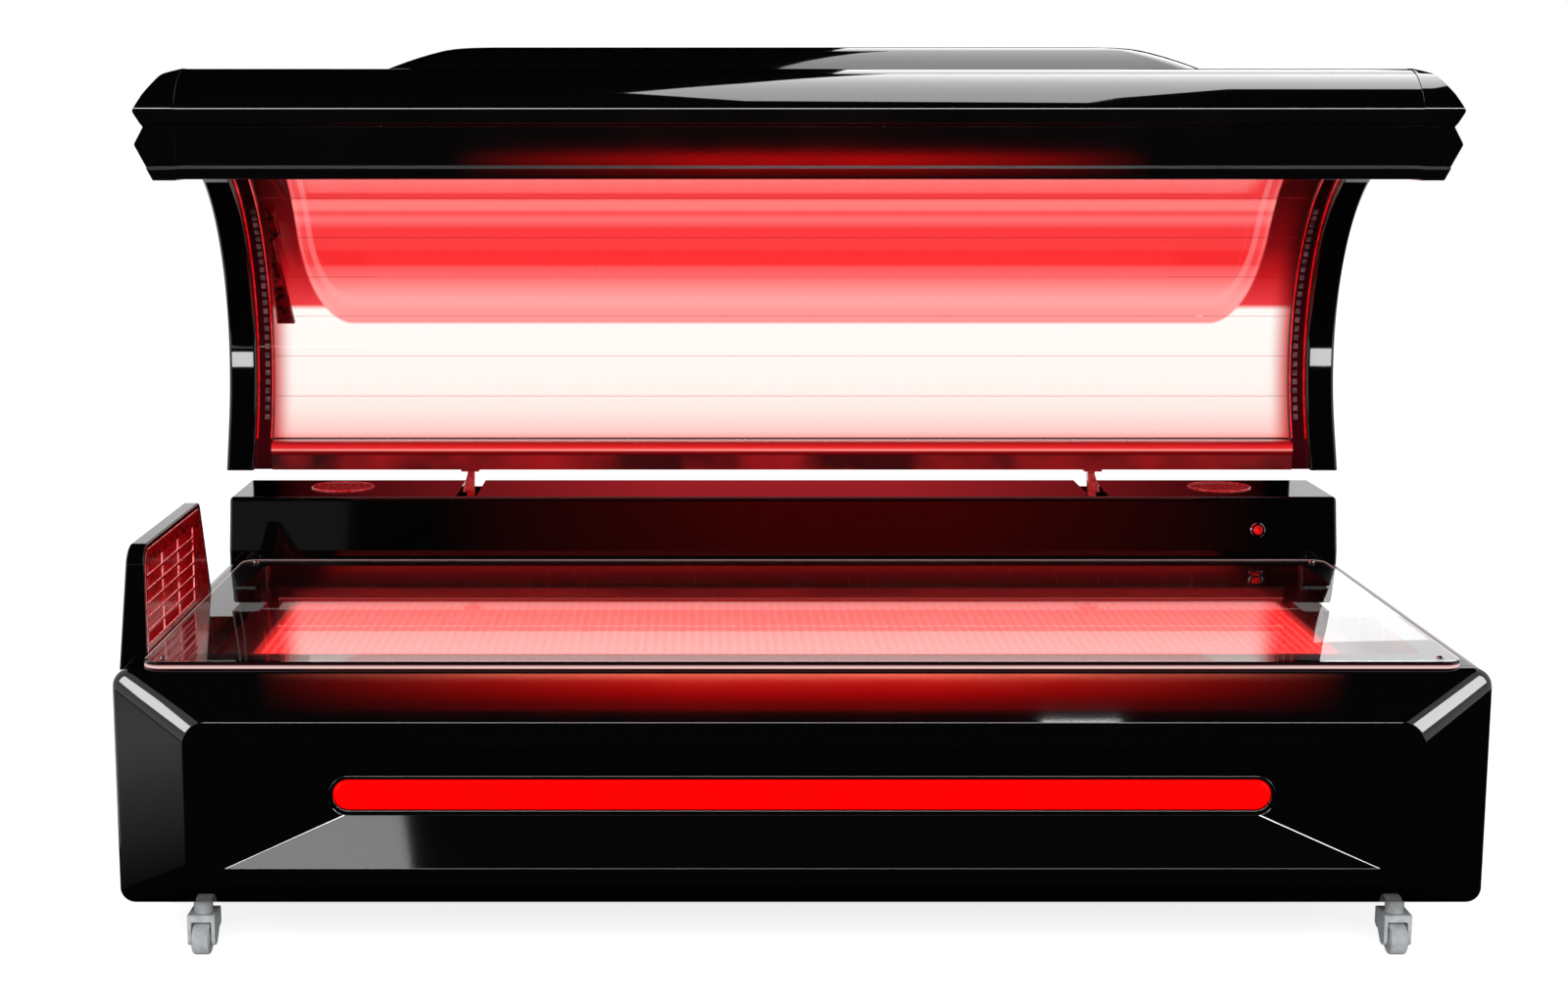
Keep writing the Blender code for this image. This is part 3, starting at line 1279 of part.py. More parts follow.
def canopy_hood(canopy, place):
    """Raised cowl on top of the canopy, trimmed to the shell below it."""
    corner = HOOD_CORNER_RADIUS
    shoulder_z = HOOD_TOP - HOOD_SHOULDER
    slope = (HOOD_LENGTH - HOOD_TOP_LENGTH) / 2
    taper = HOOD_DEPTH_TAPER / slope

    def ring(inset, z):
        depth = inset * taper
        half = HOOD_LENGTH / 2 - inset
        outline = rectangle(half, HOOD_FRONT_Y + depth, HOOD_REAR_Y - depth, corner, corner)
        return level(outline, z)

    skin = loft(
        [
            ring(0, HOOD_SKIRT_Z),
            ring(0, shoulder_z),
            ring(slope - 2 * HOOD_CROWN, HOOD_TOP - HOOD_CROWN),
            ring(slope, HOOD_TOP),
        ]
    )
    skin.normal_update()
    floor = [face for face in skin.faces if face.normal.z < -0.9]
    bmesh.ops.delete(skin, geom=floor, context="FACES")
    skin.faces.ensure_lookup_table()
    shape = thicken(skin, WALL, skin.faces[0].normal)
    below = canopy_sweep(layer(END_X, 0, CANOPY_DEPTH + GAP), None, CANOPY_FRONT_Y - WALL)
    add_part("canopy_hood", carve(shape, below), "gloss_black", canopy, place)


# Casters


def caster_fork():
    """U-shaped fork with a stem above it, an axle across it and holes for the brake lever's pin."""
    inside = WHEEL_WIDTH / 2 + WHEEL_CLEARANCE
    outside = inside + FORK_LEG
    front_view = [
        (-outside, 0),
        (-inside, 0),
        (-inside, FORK_BRIDGE_BOTTOM),
        (inside, FORK_BRIDGE_BOTTOM),
        (inside, 0),
        (outside, 0),
        (outside, FORK_TOP),
        (-outside, FORK_TOP),
    ]
    lobe = 2.5 * AXLE_RADIUS
    rear = LEVER_PIVOT_Y + lobe
    side_view = fillet([
        (-CASTER_TRAIL - lobe, WHEEL_RADIUS - lobe, lobe * 0.8),
        (-CASTER_TRAIL + lobe, WHEEL_RADIUS - lobe, lobe * 0.8),
        (LEVER_PIVOT_Y - lobe / 2, LEVER_PIVOT_Z - lobe, lobe / 2),
        (rear, LEVER_PIVOT_Z - lobe, lobe / 2),
        (rear, FORK_TOP + GAP, lobe / 2),
        (-CASTER_TRAIL - lobe, FORK_TOP + GAP, lobe / 2),
    ])
    reach = 2 * outside
    shape = prism(front_view, "Y", -reach, reach)
    shape = carve(shape, prism(side_view, "X", -reach, reach), "INTERSECT")
    axle = prism(circle(AXLE_RADIUS, SMALL_STEPS, (-CASTER_TRAIL, WHEEL_RADIUS)), "X", -outside, outside)
    neck_top = CHASSIS_BOTTOM - GAP
    stem = turned(
        [
            (NECK_RADIUS, FORK_TOP - WALL),
            (NECK_RADIUS, neck_top),
            (STEM_RADIUS, neck_top),
            (STEM_RADIUS, CHASSIS_BOTTOM + STEM_LENGTH),
        ],
        "Z",
        (0, 0, 0),
        SMALL_STEPS,
    )
    hole = circle(LEVER_PIN_RADIUS + RUNNING_GAP, SMALL_STEPS, (LEVER_PIVOT_Y, LEVER_PIVOT_Z))
    return carve(unite([shape, axle, stem]), prism(hole, "X", -reach, reach))


def caster_wheel():
    """Moulded wheel with a rounded tread and a dished hub."""
    half = WHEEL_WIDTH / 2
    bore = AXLE_RADIUS + RUNNING_GAP
    profile = [
        (bore, -half),
        (WHEEL_RADIUS * 0.45, -half),
        (WHEEL_RADIUS * 0.55, -half + WHEEL_DISH),
        (WHEEL_RADIUS * 0.75, -half + WHEEL_DISH),
        (WHEEL_RADIUS * 0.80, -half),
        (WHEEL_RADIUS - WHEEL_SHOULDER / 2, -half),
        (WHEEL_RADIUS, -half + WHEEL_SHOULDER),
    ]
    profile += [(radius, -along) for radius, along in reversed(profile)]
    return turned(profile, "X", (0, -CASTER_TRAIL, WHEEL_RADIUS), looped=True)


def brake_lever():
    """Curved pedal behind the fork, with its pin."""
    half = LEVER_WIDTH / 2
    pad = LEVER_PAD
    y, z = LEVER_PIVOT_Y, LEVER_PIVOT_Z
    side_view = fillet([
        (y - pad, z - pad, pad * 0.9),
        (y + 3 * pad, z - pad, pad),
        (y + 6 * pad, z - 5 * pad, pad * 0.6),
        (y + 7.5 * pad, z - 4.5 * pad, pad * 0.6),
        (y + 5 * pad, z + pad, pad),
        (y - pad, z + pad, pad * 0.9),
    ])
    outside = WHEEL_WIDTH / 2 + WHEEL_CLEARANCE + FORK_LEG
    pin = prism(circle(LEVER_PIN_RADIUS, SMALL_STEPS, (y, z)), "X", -outside, outside)
    return unite([prism(side_view, "X", -half, half), pin])


def casters():
    """Four braked swivel casters, each hung from an empty on its swivel axis."""
    masters = (("fork", caster_fork), ("wheel", caster_wheel), ("brake", brake_lever))
    origins = {
        "fork": (0, 0, 0),
        "wheel": (0, -CASTER_TRAIL, WHEEL_RADIUS),
        "brake": (0, LEVER_PIVOT_Y, LEVER_PIVOT_Z),
    }
    names = ("front_left", "front_right", "rear_left", "rear_right")
    for name, (x, y) in zip(names, caster_places()):
        swivel = pivot(f"{name}_caster_swivel", (x, y, 0))
        for piece, make in masters:
            shape = make()
            bmesh.ops.translate(shape, verts=shape.verts[:], vec=(x, y, 0))
            origin = Vector(origins[piece]) + Vector((x, y, 0))
            add_part(f"{name}_caster_{piece}", shape, "caster_grey", swivel, origin, smooth=True)


def build_bed():
    """Make every piece of the bed."""
    for item in list(bpy.data.objects):
        bpy.data.objects.remove(item, do_unlink=True)
    chassis_frame()
    floor_pan()
    front_fascia()
    light_bar()
    end_covers()
    rear_cover()
    mains_inlet()
    lying_plate()
    power_supply()
    console_housing()
    speakers()
    start_button()
    vent_housing()
    vent_grille()
    cross_flow_fan()
    place = (0, HINGE_Y, HINGE_Z)
    canopy = pivot("canopy_hinge", place)
    for side, word in ((-1, "left"), (1, "right")):
        hinge_bracket(side, word)
        hinge_arm(side, word, canopy)
        gas_spring(side, word)
    canopy_layers(canopy, place)
    canopy_end_frames(canopy, place)
    canopy_foot(canopy, place)
    canopy_beam(canopy, place)
    canopy_hood(canopy, place)
    casters()


build_bed()
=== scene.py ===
"""Looks of the red light therapy bed: fine shapes, finishes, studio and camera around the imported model."""

import json
import math

import bmesh
import bpy
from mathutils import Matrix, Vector

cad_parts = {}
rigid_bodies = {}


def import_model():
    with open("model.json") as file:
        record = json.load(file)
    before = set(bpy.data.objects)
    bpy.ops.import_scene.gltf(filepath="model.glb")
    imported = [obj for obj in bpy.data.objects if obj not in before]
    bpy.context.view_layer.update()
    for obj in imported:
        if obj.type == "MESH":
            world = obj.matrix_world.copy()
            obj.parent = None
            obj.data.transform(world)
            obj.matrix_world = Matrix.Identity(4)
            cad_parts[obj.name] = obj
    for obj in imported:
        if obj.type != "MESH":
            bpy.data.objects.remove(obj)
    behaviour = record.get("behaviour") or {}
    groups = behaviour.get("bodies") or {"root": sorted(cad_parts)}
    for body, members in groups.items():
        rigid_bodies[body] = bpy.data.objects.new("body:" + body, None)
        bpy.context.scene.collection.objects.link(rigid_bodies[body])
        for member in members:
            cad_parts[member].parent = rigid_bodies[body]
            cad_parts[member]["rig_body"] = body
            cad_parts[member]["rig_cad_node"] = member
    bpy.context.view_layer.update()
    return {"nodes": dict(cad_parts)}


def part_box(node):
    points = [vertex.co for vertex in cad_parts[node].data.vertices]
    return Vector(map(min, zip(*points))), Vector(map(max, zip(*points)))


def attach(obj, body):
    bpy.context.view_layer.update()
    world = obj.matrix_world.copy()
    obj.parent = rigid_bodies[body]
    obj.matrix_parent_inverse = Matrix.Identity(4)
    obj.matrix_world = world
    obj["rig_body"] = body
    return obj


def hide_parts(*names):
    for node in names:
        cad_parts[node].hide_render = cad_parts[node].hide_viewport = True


bl_info = {
    "name": "Red Light Therapy Bed",
    "version": (1, 0, 0),
    "blender": (4, 5, 0),
    "location": "View3D > Sidebar > Light Bed",
    "description": "Dresses the packed light bed with finely shaped pieces, finishes, a studio and a camera",
    "category": "Object",
}

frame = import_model()

# Base places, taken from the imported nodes
BASE_LOW, BASE_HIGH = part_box("right_end_cover")
FASCIA_LOW, FASCIA_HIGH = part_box("front_fascia")
PLATE_LOW, PLATE_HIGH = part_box("bed_acrylic")
CONSOLE_LOW, CONSOLE_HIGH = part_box("console_housing")
VENT_LOW, VENT_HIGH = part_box("vent_housing")
END_X = BASE_HIGH.x
BASE_BOTTOM = BASE_LOW.z
BASE_TOP = BASE_HIGH.z
FRONT_Y = FASCIA_LOW.y
RIM_Y = PLATE_LOW.y

# Canopy places
SHELL_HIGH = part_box("canopy_shell")[1]
FRAME_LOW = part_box("right_canopy_end_frame")[0]
CANOPY_RADIUS = 0.385
CANOPY_DEPTH = 0.102
CANOPY_CENTRE_Y = SHELL_HIGH.y - CANOPY_RADIUS - CANOPY_DEPTH
CANOPY_CENTRE_Z = SHELL_HIGH.z - CANOPY_RADIUS - CANOPY_DEPTH
CANOPY_BOTTOM = FRAME_LOW.z
CANOPY_FRONT_Y = FRAME_LOW.y
LOW_TURN = math.radians(-22.0)
PANEL_SPLIT = math.radians(34.0)
ACRYLIC_DEPTH = 0.014
PANEL_DEPTH = 0.045
FLANGE_DEPTHS = (0.0185, 0.0305)
FRAME_INNER_X = SHELL_HIGH.x
FLANGE_INNER_X = FRAME_LOW.x
RAIL_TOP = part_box("canopy_lower_rail")[1].z
RAIL_STEP_Z = CANOPY_BOTTOM + 0.030
RAIL_NOSE_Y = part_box("canopy_lower_rail")[0].y

# Sheet walls and the fineness of curves
WALL = 0.004
FIT = 0.0003
CORNER_STEPS = 10
ARC_STEPS = 72
ROUND_STEPS = 48
MERGE = 0.00002
SIDES = ((-1, "left"), (1, "right"))


# Sizes and colours that a user may change


def linear(hex_colour):
    """Turn an sRGB hex colour into linear red, green and blue."""
    values = [int(hex_colour[place:place + 2], 16) / 255 for place in (1, 3, 5)]
    return tuple(v / 12.92 if v <= 0.04045 else ((v + 0.055) / 1.055) ** 2.4 for v in values)


def size(name, default, description):
    """A length that shows in the panel."""
    return bpy.props.FloatProperty(
        name=name, description=description, default=default, min=0.0, precision=4, unit="LENGTH"
    )


def colour(name, default, description):
    """A colour that shows in the panel, given as an sRGB hex value."""
    return bpy.props.FloatVectorProperty(
        name=name, description=description, default=linear(default), min=0.0, max=1.0, size=3, subtype="COLOR"
    )


class BedSizes(bpy.types.PropertyGroup):
    """Edge and detail sizes of the bed."""

    shoulder_radius: size("Shoulder Radius", 0.010, "Rounding where the base turns into the front facets")
    panel_edge: size("Panel Edge", 0.007, "Rounding of the raised front panel")
    console_edge: size("Console Edge", 0.010, "Rounding along the top of the console")
    plate_edge: size("Plate Edge", 0.0015, "Polished chamfer of the lying plate")
    frame_edge: size("Frame Edge", 0.0025, "Rounding of the canopy's end frames")
    caster_edge: size("Caster Edge", 0.0012, "Rounding of the moulded caster forks")


class BedColours(bpy.types.PropertyGroup):
    """Colours of the bed's finishes."""

    lacquer: colour("Lacquer", "#060607", "Gloss black of the covers")
    lamp_bar: colour("Light Bar", "#ff0000", "Red of the light bar in the front")
    strip: colour("Perforated Strip", "#8c0f14", "Red of the perforated strip")


# Materials


def rgba(value):
    """A node's colour from a hex value, a grey, or linear red, green and blue."""
    if isinstance(value, str):
        value = linear(value)
    elif isinstance(value, float):
        value = (value, value, value)
    return (*value, 1.0)


def node(tree, kind, inputs=None, stops=(), **settings):
    """Add a node with its settings, colour stops and inputs: values, or sockets and nodes to link."""
    item = tree.nodes.new(f"ShaderNode{kind}")
    for name, value in settings.items():
        setattr(item, name, value)
    for name, value in (inputs or {}).items():
        if isinstance(value, bpy.types.Node):
            value = next(socket for socket in value.outputs if socket.enabled)
        if isinstance(value, bpy.types.NodeSocket):
            tree.links.new(value, item.inputs[name])
        else:
            item.inputs[name].default_value = rgba(value) if isinstance(value, str) else value
    if stops:
        elements = item.color_ramp.elements
        while len(elements) < len(stops):
            elements.new(0.5)
        for element, (place, tone) in zip(elements, stops):
            element.position = place
        for element, (place, tone) in zip(elements, stops):
            element.color = rgba(tone)
    return item


def new_material(name):
    """An empty node material, its tree and its object coordinates."""
    material = bpy.data.materials.new(name)
    material.use_nodes = True
    tree = material.node_tree
    tree.nodes.clear()
    return material, tree, node(tree, "TexCoord").outputs["Object"]


def surface(material, shader):
    """Join a shader to a material's output, and give the material back."""
    node(material.node_tree, "OutputMaterial", {"Surface": shader})
    return material


def bands(tree, along, stops):
    """Colours that run along one coordinate, each given at a place in metres."""
    low, high = stops[0][0], stops[-1][0]
    run = node(tree, "MapRange", {"Value": along, "From Min": low, "From Max": high})
    return node(tree, "ValToRGB", {"Fac": run}, [((at - low) / (high - low), tone) for at, tone in stops])


def dots(tree, place, pitch, axes):
    """How far a place is from the middle of its cell, in cells, for a square pattern on two of the axes."""
    cells = [pitch if used else 1.0 for used in axes]
    cell = node(tree, "VectorMath", {0: place, 1: cells}, operation="DIVIDE")
    inside = node(tree, "VectorMath", {0: cell}, operation="FRACTION")
    middle = node(tree, "VectorMath", {0: inside, 1: [used / 2 for used in axes]}, operation="SUBTRACT")
    flat = node(tree, "VectorMath", {0: middle, 1: axes}, operation="MULTIPLY")
    return node(tree, "VectorMath", {0: flat}, operation="LENGTH")


def per_mm(millimetres):
    """Texture scale whose pattern repeats about once in the given number of millimetres."""
    return 1000.0 / millimetres


def gloss_black_lacquer(colours):
    """Sprayed and polished lacquer: deep black, mirror clear, with a trace of orange peel and wipe marks."""
    material, tree, place = new_material("gloss_black_lacquer")
    wipes = node(tree, "TexNoise", {"Vector": place, "Scale": per_mm(140), "Detail": 4.0})
    gloss = node(tree, "MapRange", {"Value": wipes, "To Min": 0.025, "To Max": 0.060})
    peel = node(tree, "TexNoise", {"Vector": place, "Scale": per_mm(6), "Detail": 1.0})
    bump = node(tree, "Bump", {"Height": peel, "Strength": 0.02, "Distance": 0.0002})
    return surface(material, node(tree, "BsdfPrincipled", {
        "Base Color": (*colours.lacquer, 1.0), "Roughness": gloss, "IOR": 1.52, "Normal": bump,
    }))


def red_lit_lacquer(name, stops):
    """Gloss black lacquer right beside the lamps: black, with a painted reflection of their red light in
    bands of height.
    """
    material, tree, place = new_material(name)
    split = node(tree, "SeparateXYZ", {"Vector": place})
    # Painted reflection of the lamps' red light, by height
    glow = bands(tree, split.outputs["Z"], stops)
    wipes = node(tree, "TexNoise", {"Vector": place, "Scale": per_mm(140), "Detail": 4.0})
    gloss = node(tree, "MapRange", {"Value": wipes, "To Min": 0.030, "To Max": 0.070})
    return surface(material, node(tree, "BsdfPrincipled", {
        "Base Color": "#080304", "Roughness": gloss, "IOR": 1.52,
        "Emission Color": glow, "Emission Strength": 1.0,
    }))


def satin_black_abs():
    """Moulded ABS with a fine spark texture: soft dull sheen, nearly black."""
    material, tree, place = new_material("satin_black_abs")
    grain = node(tree, "TexNoise", {"Vector": place, "Scale": per_mm(1.2), "Detail": 2.0})
    tone = node(tree, "ValToRGB", {"Fac": grain}, [(0.35, "#0b0b0c"), (0.70, "#151516")])
    bump = node(tree, "Bump", {"Height": grain, "Strength": 0.25, "Distance": 0.0002})
    return surface(material, node(tree, "BsdfPrincipled", {
        "Base Color": tone, "Roughness": 0.42, "IOR": 1.53, "Normal": bump,
    }))


def cast_acrylic(name, sag=0.0):
    """Polished cast acrylic: water clear, with sharp reflections that a sagging sheet leans forward."""
    material, tree, place = new_material(name)
    smears = node(tree, "TexNoise", {"Vector": place, "Scale": per_mm(220), "Detail": 3.0})
    gloss = node(tree, "MapRange", {"Value": smears, "To Min": 0.0, "To Max": 0.010})
    shape = node(tree, "NewGeometry")
    leaning = node(tree, "VectorMath", {0: shape.outputs["Normal"], 1: (0.0, -sag, 0.0)}, operation="ADD")
    normal = node(tree, "VectorMath", {0: leaning}, operation="NORMALIZE")
    return surface(material, node(tree, "BsdfPrincipled", {
        "Base Color": "#fbfdfd", "Roughness": gloss, "IOR": 1.49,
        "Transmission Weight": 1.0, "Normal": normal,
    }))


def acrylic_edge():
    """Polished edge of the lying plate, in painted light: a dark line over a pale pink line, painted where
    the sheet's light leaves.
    """
    material, tree, place = new_material("acrylic_edge")
    split = node(tree, "SeparateXYZ", {"Vector": place})
    height = node(tree, "MapRange", {
        "Value": split.outputs["Z"], "From Min": PLATE_LOW.z, "From Max": PLATE_HIGH.z,
    })
    # Painted light: a pale pink band between dark lines, by height
    glow = node(tree, "ValToRGB", {"Fac": height}, [
        (0.00, "#7a4a4c"), (0.18, "#f6d4d0"), (0.42, "#e8b8b6"), (0.56, "#5a2c2e"), (0.64, "#0d0506"),
    ])
    return surface(material, node(tree, "BsdfPrincipled", {
        "Base Color": "#140809", "Roughness": 0.12, "IOR": 1.49,
        "Emission Color": glow, "Emission Strength": 0.9,
    }))


def red_diffuser(colours):
    """Opal red acrylic of the light bar: an even saturated glow with a trace of haze."""
    material, tree, place = new_material("red_diffuser")
    haze = node(tree, "TexNoise", {"Vector": place, "Scale": per_mm(90), "Detail": 1.0})
    glow = node(tree, "ValToRGB", {"Fac": haze}, [(0.2, "#f60203"), (0.6, tuple(colours.lamp_bar))])
    return surface(material, node(tree, "BsdfPrincipled", {
        "Base Color": "#3a0000", "Roughness": 0.25, "IOR": 1.30,
        "Emission Color": glow, "Emission Strength": 1.0,
    }))


def canopy_lamp_panel():
    """Light panels of the canopy: painted near white glare in the low rows, red rows above with a rounded
    border, painted shade towards the top and ends, and painted reflections and sheen.
    """
    material, tree, place = new_material("canopy_lamp_panel")
    split = node(tree, "SeparateXYZ", {"Vector": place})
    z = split.outputs["Z"]
    # Painted glare near white in the low rows, and painted shade darkening towards the top, outside the
    # rounded border
    painted_glare_and_shade = bands(tree, z, [
        (0.716, "#ff9a96"), (0.735, "#ffcdc7"), (0.775, "#ffe6e0"), (0.830, "#fff2ec"), (0.975, "#fff8f4"),
        (0.985, "#e83a40"), (1.045, "#bd151b"), (1.106, "#74060a"), (1.220, "#2e0204"),
    ])
    # Painted shade and reflection: a darker red at the panel's ends
    edge = bands(tree, z, [(0.972, "#c8201f"), (0.985, "#8a0c10"), (1.060, "#4a0408"), (1.120, "#200203")])
    # The lamps' red rows, with pale bands that are painted reflections
    red = bands(tree, z, [
        (0.950, "#ff8a88"), (0.985, "#ff9c99"), (1.012, "#ff9491"), (1.040, "#fb6c6c"), (1.062, "#f75152"),
        (1.068, "#f22a2d"), (1.094, "#f22a2d"), (1.099, "#f53c3e"), (1.140, "#f3383b"), (1.160, "#fb7274"),
        (1.172, "#f54a4c"), (1.182, "#ff7d7a"), (1.196, "#ff7d7a"), (1.202, "#ee3a3d"), (1.240, "#e83a3c"),
        (1.290, "#c82a2c"),
    ])
    # Share of the way to the rounded border between the red rows and the painted glare; the border and its
    # sheen are painted reflections of a rounded cover
    border_half, border_low, corner_width, corner_height = 0.955, 0.945, 0.100, 0.190
    from_middle = node(tree, "Math", {0: split.outputs["X"]}, operation="ABSOLUTE")
    beyond = node(tree, "Math", {0: from_middle, 1: border_half - corner_width}, operation="SUBTRACT")
    under = node(tree, "Math", {0: border_low + corner_height, 1: z}, operation="SUBTRACT")
    corner = node(tree, "CombineXYZ", {"X": beyond, "Y": under})
    shares = (1 / corner_width, 1 / corner_height, 0.0)
    oval = node(tree, "VectorMath", {0: corner, 1: shares}, operation="MULTIPLY")
    outside = node(tree, "VectorMath", {0: oval, 1: (0.0, 0.0, 0.0)}, operation="MAXIMUM")
    reach = node(tree, "VectorMath", {0: outside}, operation="LENGTH")
    halved = node(tree, "MapRange", {"Value": reach, "From Min": 0.0, "From Max": 2.0})
    inside = node(tree, "ValToRGB", {"Fac": halved}, [(0.485, 1.0), (0.500, 0.0)])
    # Painted highlight: pale sheen bands inside the rounded border
    painted_cover_sheen = node(tree, "ValToRGB", {"Fac": halved}, [
        (0.340, 0.0), (0.350, 0.28), (0.395, 0.28), (0.405, 0.04), (0.455, 0.10),
        (0.465, 0.32), (0.490, 0.05),
    ])
    banded = node(tree, "Mix", {"Factor": painted_cover_sheen, 6: red, 7: "#ffb0b0"}, data_type="RGBA")
    toned = node(tree, "Mix", {"Factor": inside, 6: painted_glare_and_shade, 7: banded}, data_type="RGBA")
    # Blend into the painted darker ends past the middle's width
    ends = node(tree, "MapRange", {
        "Value": from_middle, "From Min": 0.975, "From Max": 1.025,
    }, interpolation_type="SMOOTHSTEP")
    ended = node(tree, "Mix", {"Factor": ends, 6: toned, 7: edge}, data_type="RGBA")
    # Seams between the rows
    row_pitch, first_seam, seam_share, seam_depth = 0.0803, 0.720, 0.022, 0.45
    rise = node(tree, "Math", {0: z, 1: first_seam}, operation="SUBTRACT")
    row = node(tree, "Math", {0: rise, 1: row_pitch}, operation="DIVIDE")
    part = node(tree, "Math", {0: row}, operation="FRACT")
    seam = node(tree, "Math", {0: part, 1: seam_share}, operation="LESS_THAN")
    line = node(tree, "Math", {0: seam, 1: seam_depth}, operation="MULTIPLY")
    lined = node(tree, "Mix", {"Factor": line, 6: ended, 7: "#8c1418"}, data_type="RGBA")
    return surface(material, node(tree, "BsdfPrincipled", {
        "Base Color": "#6a1416", "Roughness": 0.40, "IOR": 1.49,
        "Emission Color": lined, "Emission Strength": 1.15,
    }))


def bed_lamp_panel():
    """Lit panel below the lying plate: rows of small round lamps in a red glow that ends short of its rim."""
    material, tree, place = new_material("bed_lamp_panel")
    reach = dots(tree, place, 0.016, (1.0, 1.0, 0.0))
    lamps = node(tree, "ValToRGB", {"Fac": reach}, [(0.18, "#ff6a66"), (0.27, "#fa3436"), (0.60, "#f42a2c")])
    split = node(tree, "SeparateXYZ", {"Vector": place})
    depth = node(tree, "MapRange", {"Value": split.outputs["Y"], "From Min": -0.55, "From Max": 0.32})
    lit_rows = node(tree, "ValToRGB", {"Fac": depth}, [
        (0.10, (1.0, 0.80, 0.75)), (0.45, (1.0, 0.90, 0.85)),
        (0.72, (0.85, 0.60, 0.60)), (0.79, (0.05, 0.02, 0.02)),
    ])
    from_middle = node(tree, "Math", {0: split.outputs["X"]}, operation="ABSOLUTE")
    lit_length = node(tree, "MapRange", {
        "Value": from_middle, "From Min": 0.900, "From Max": 0.925, "To Min": 1.0, "To Max": 0.02,
    })
    lit = node(tree, "VectorMath", {0: lamps, 1: lit_rows}, operation="MULTIPLY")
    strength = node(tree, "Math", {0: lit_length, 1: 2.4}, operation="MULTIPLY")
    return surface(material, node(tree, "BsdfPrincipled", {
        "Base Color": "#2a0406", "Roughness": 0.30, "IOR": 1.49,
        "Emission Color": lit, "Emission Strength": strength,
    }))


def perforated_red_steel(colours):
    """Punched steel strip in red enamel, with painted red light of the lamps as a glow: rows of dark round
    holes, some shaded by what is behind.
    """
    material, tree, place = new_material("perforated_red_steel")
    reach = dots(tree, place, 0.0048, (1.0, 0.0, 1.0))
    patches = node(tree, "TexNoise", {"Vector": place, "Scale": per_mm(120), "Detail": 2.0})
    enamel = node(tree, "ValToRGB", {"Fac": patches}, [
        (0.38, "#3c0508"), (0.55, tuple(colours.strip)), (0.75, "#b3141a"),
    ])
    hole = node(tree, "Math", {0: reach, 1: 0.30}, operation="LESS_THAN")
    punched = node(tree, "Mix", {"Factor": hole, 6: enamel, 7: "#140203"}, data_type="RGBA")
    bump = node(tree, "Bump", {"Height": hole, "Strength": 0.6, "Distance": 0.0008}, invert=True)
    # The enamel colour is also painted on as a glow: painted red light of the lamps
    return surface(material, node(tree, "BsdfPrincipled", {
        "Base Color": punched, "Roughness": 0.30, "IOR": 1.50,
        "Emission Color": punched, "Emission Strength": 0.40, "Normal": bump,
    }))


def plated_metal(name, hex_colour, rough_low, rough_high, grain_mm):
    """Plated steel: bright metal with faint drawing lines and cloudy roughness."""
    material, tree, place = new_material(name)
    drawn = node(tree, "Mapping", {"Vector": place, "Scale": (1.0, 1.0, 0.08)})
    lines = node(tree, "TexNoise", {"Vector": drawn, "Scale": per_mm(grain_mm), "Detail": 3.0})
    gloss = node(tree, "MapRange", {"Value": lines, "To Min": rough_low, "To Max": rough_high})
    return surface(material, node(tree, "BsdfPrincipled", {
        "Base Color": hex_colour, "Metallic": 1.0, "Roughness": gloss,
    }))


def powder_coated_steel():
    """Black powder coat on steel tube: fine pebbled texture, low sheen."""
    material, tree, place = new_material("powder_coated_steel")
    pebble = node(tree, "TexVoronoi", {"Vector": place, "Scale": per_mm(1.6)})
    bump = node(tree, "Bump", {"Height": pebble, "Strength": 0.3, "Distance": 0.0003})
    tone = node(tree, "ValToRGB", {"Fac": pebble}, [(0.0, "#17181a"), (0.8, "#222326")])
    return surface(material, node(tree, "BsdfPrincipled", {
        "Base Color": tone, "Roughness": 0.5, "IOR": 1.5, "Normal": bump,
    }))


def moulded_nylon(name, hex_colour, dark_hex, grain_mm):
    """Injection moulded nylon: matt, with slight cloudiness and a fine moulded grain."""
    material, tree, place = new_material(name)
    cloud = node(tree, "TexNoise", {"Vector": place, "Scale": per_mm(14), "Detail": 4.0})
    tone = node(tree, "ValToRGB", {"Fac": cloud}, [(0.30, dark_hex), (0.62, hex_colour)])
    grain = node(tree, "TexNoise", {"Vector": place, "Scale": per_mm(grain_mm), "Detail": 2.0})
    bump = node(tree, "Bump", {"Height": grain, "Strength": 0.15, "Distance": 0.0002})
    return surface(material, node(tree, "BsdfPrincipled", {
        "Base Color": tone, "Roughness": 0.45, "IOR": 1.53, "Normal": bump,
    }))


def red_lens(name, hex_colour, strength):
    """Tinted polycarbonate that glows as a lamp, or red enamel and dark parts that glow with painted red
    light of the lamps: clear gloss over a deep red glow.
    """
    material, tree, place = new_material(name)
    depth = node(tree, "TexNoise", {"Vector": place, "Scale": per_mm(12), "Detail": 1.0})
    glow = node(tree, "ValToRGB", {"Fac": depth}, [(0.3, "#a00508"), (0.65, hex_colour)])
    return surface(material, node(tree, "BsdfPrincipled", {
        "Base Color": glow, "Roughness": 0.12, "IOR": 1.58,
        "Emission Color": glow, "Emission Strength": strength,
    }))


FINISHES = {}


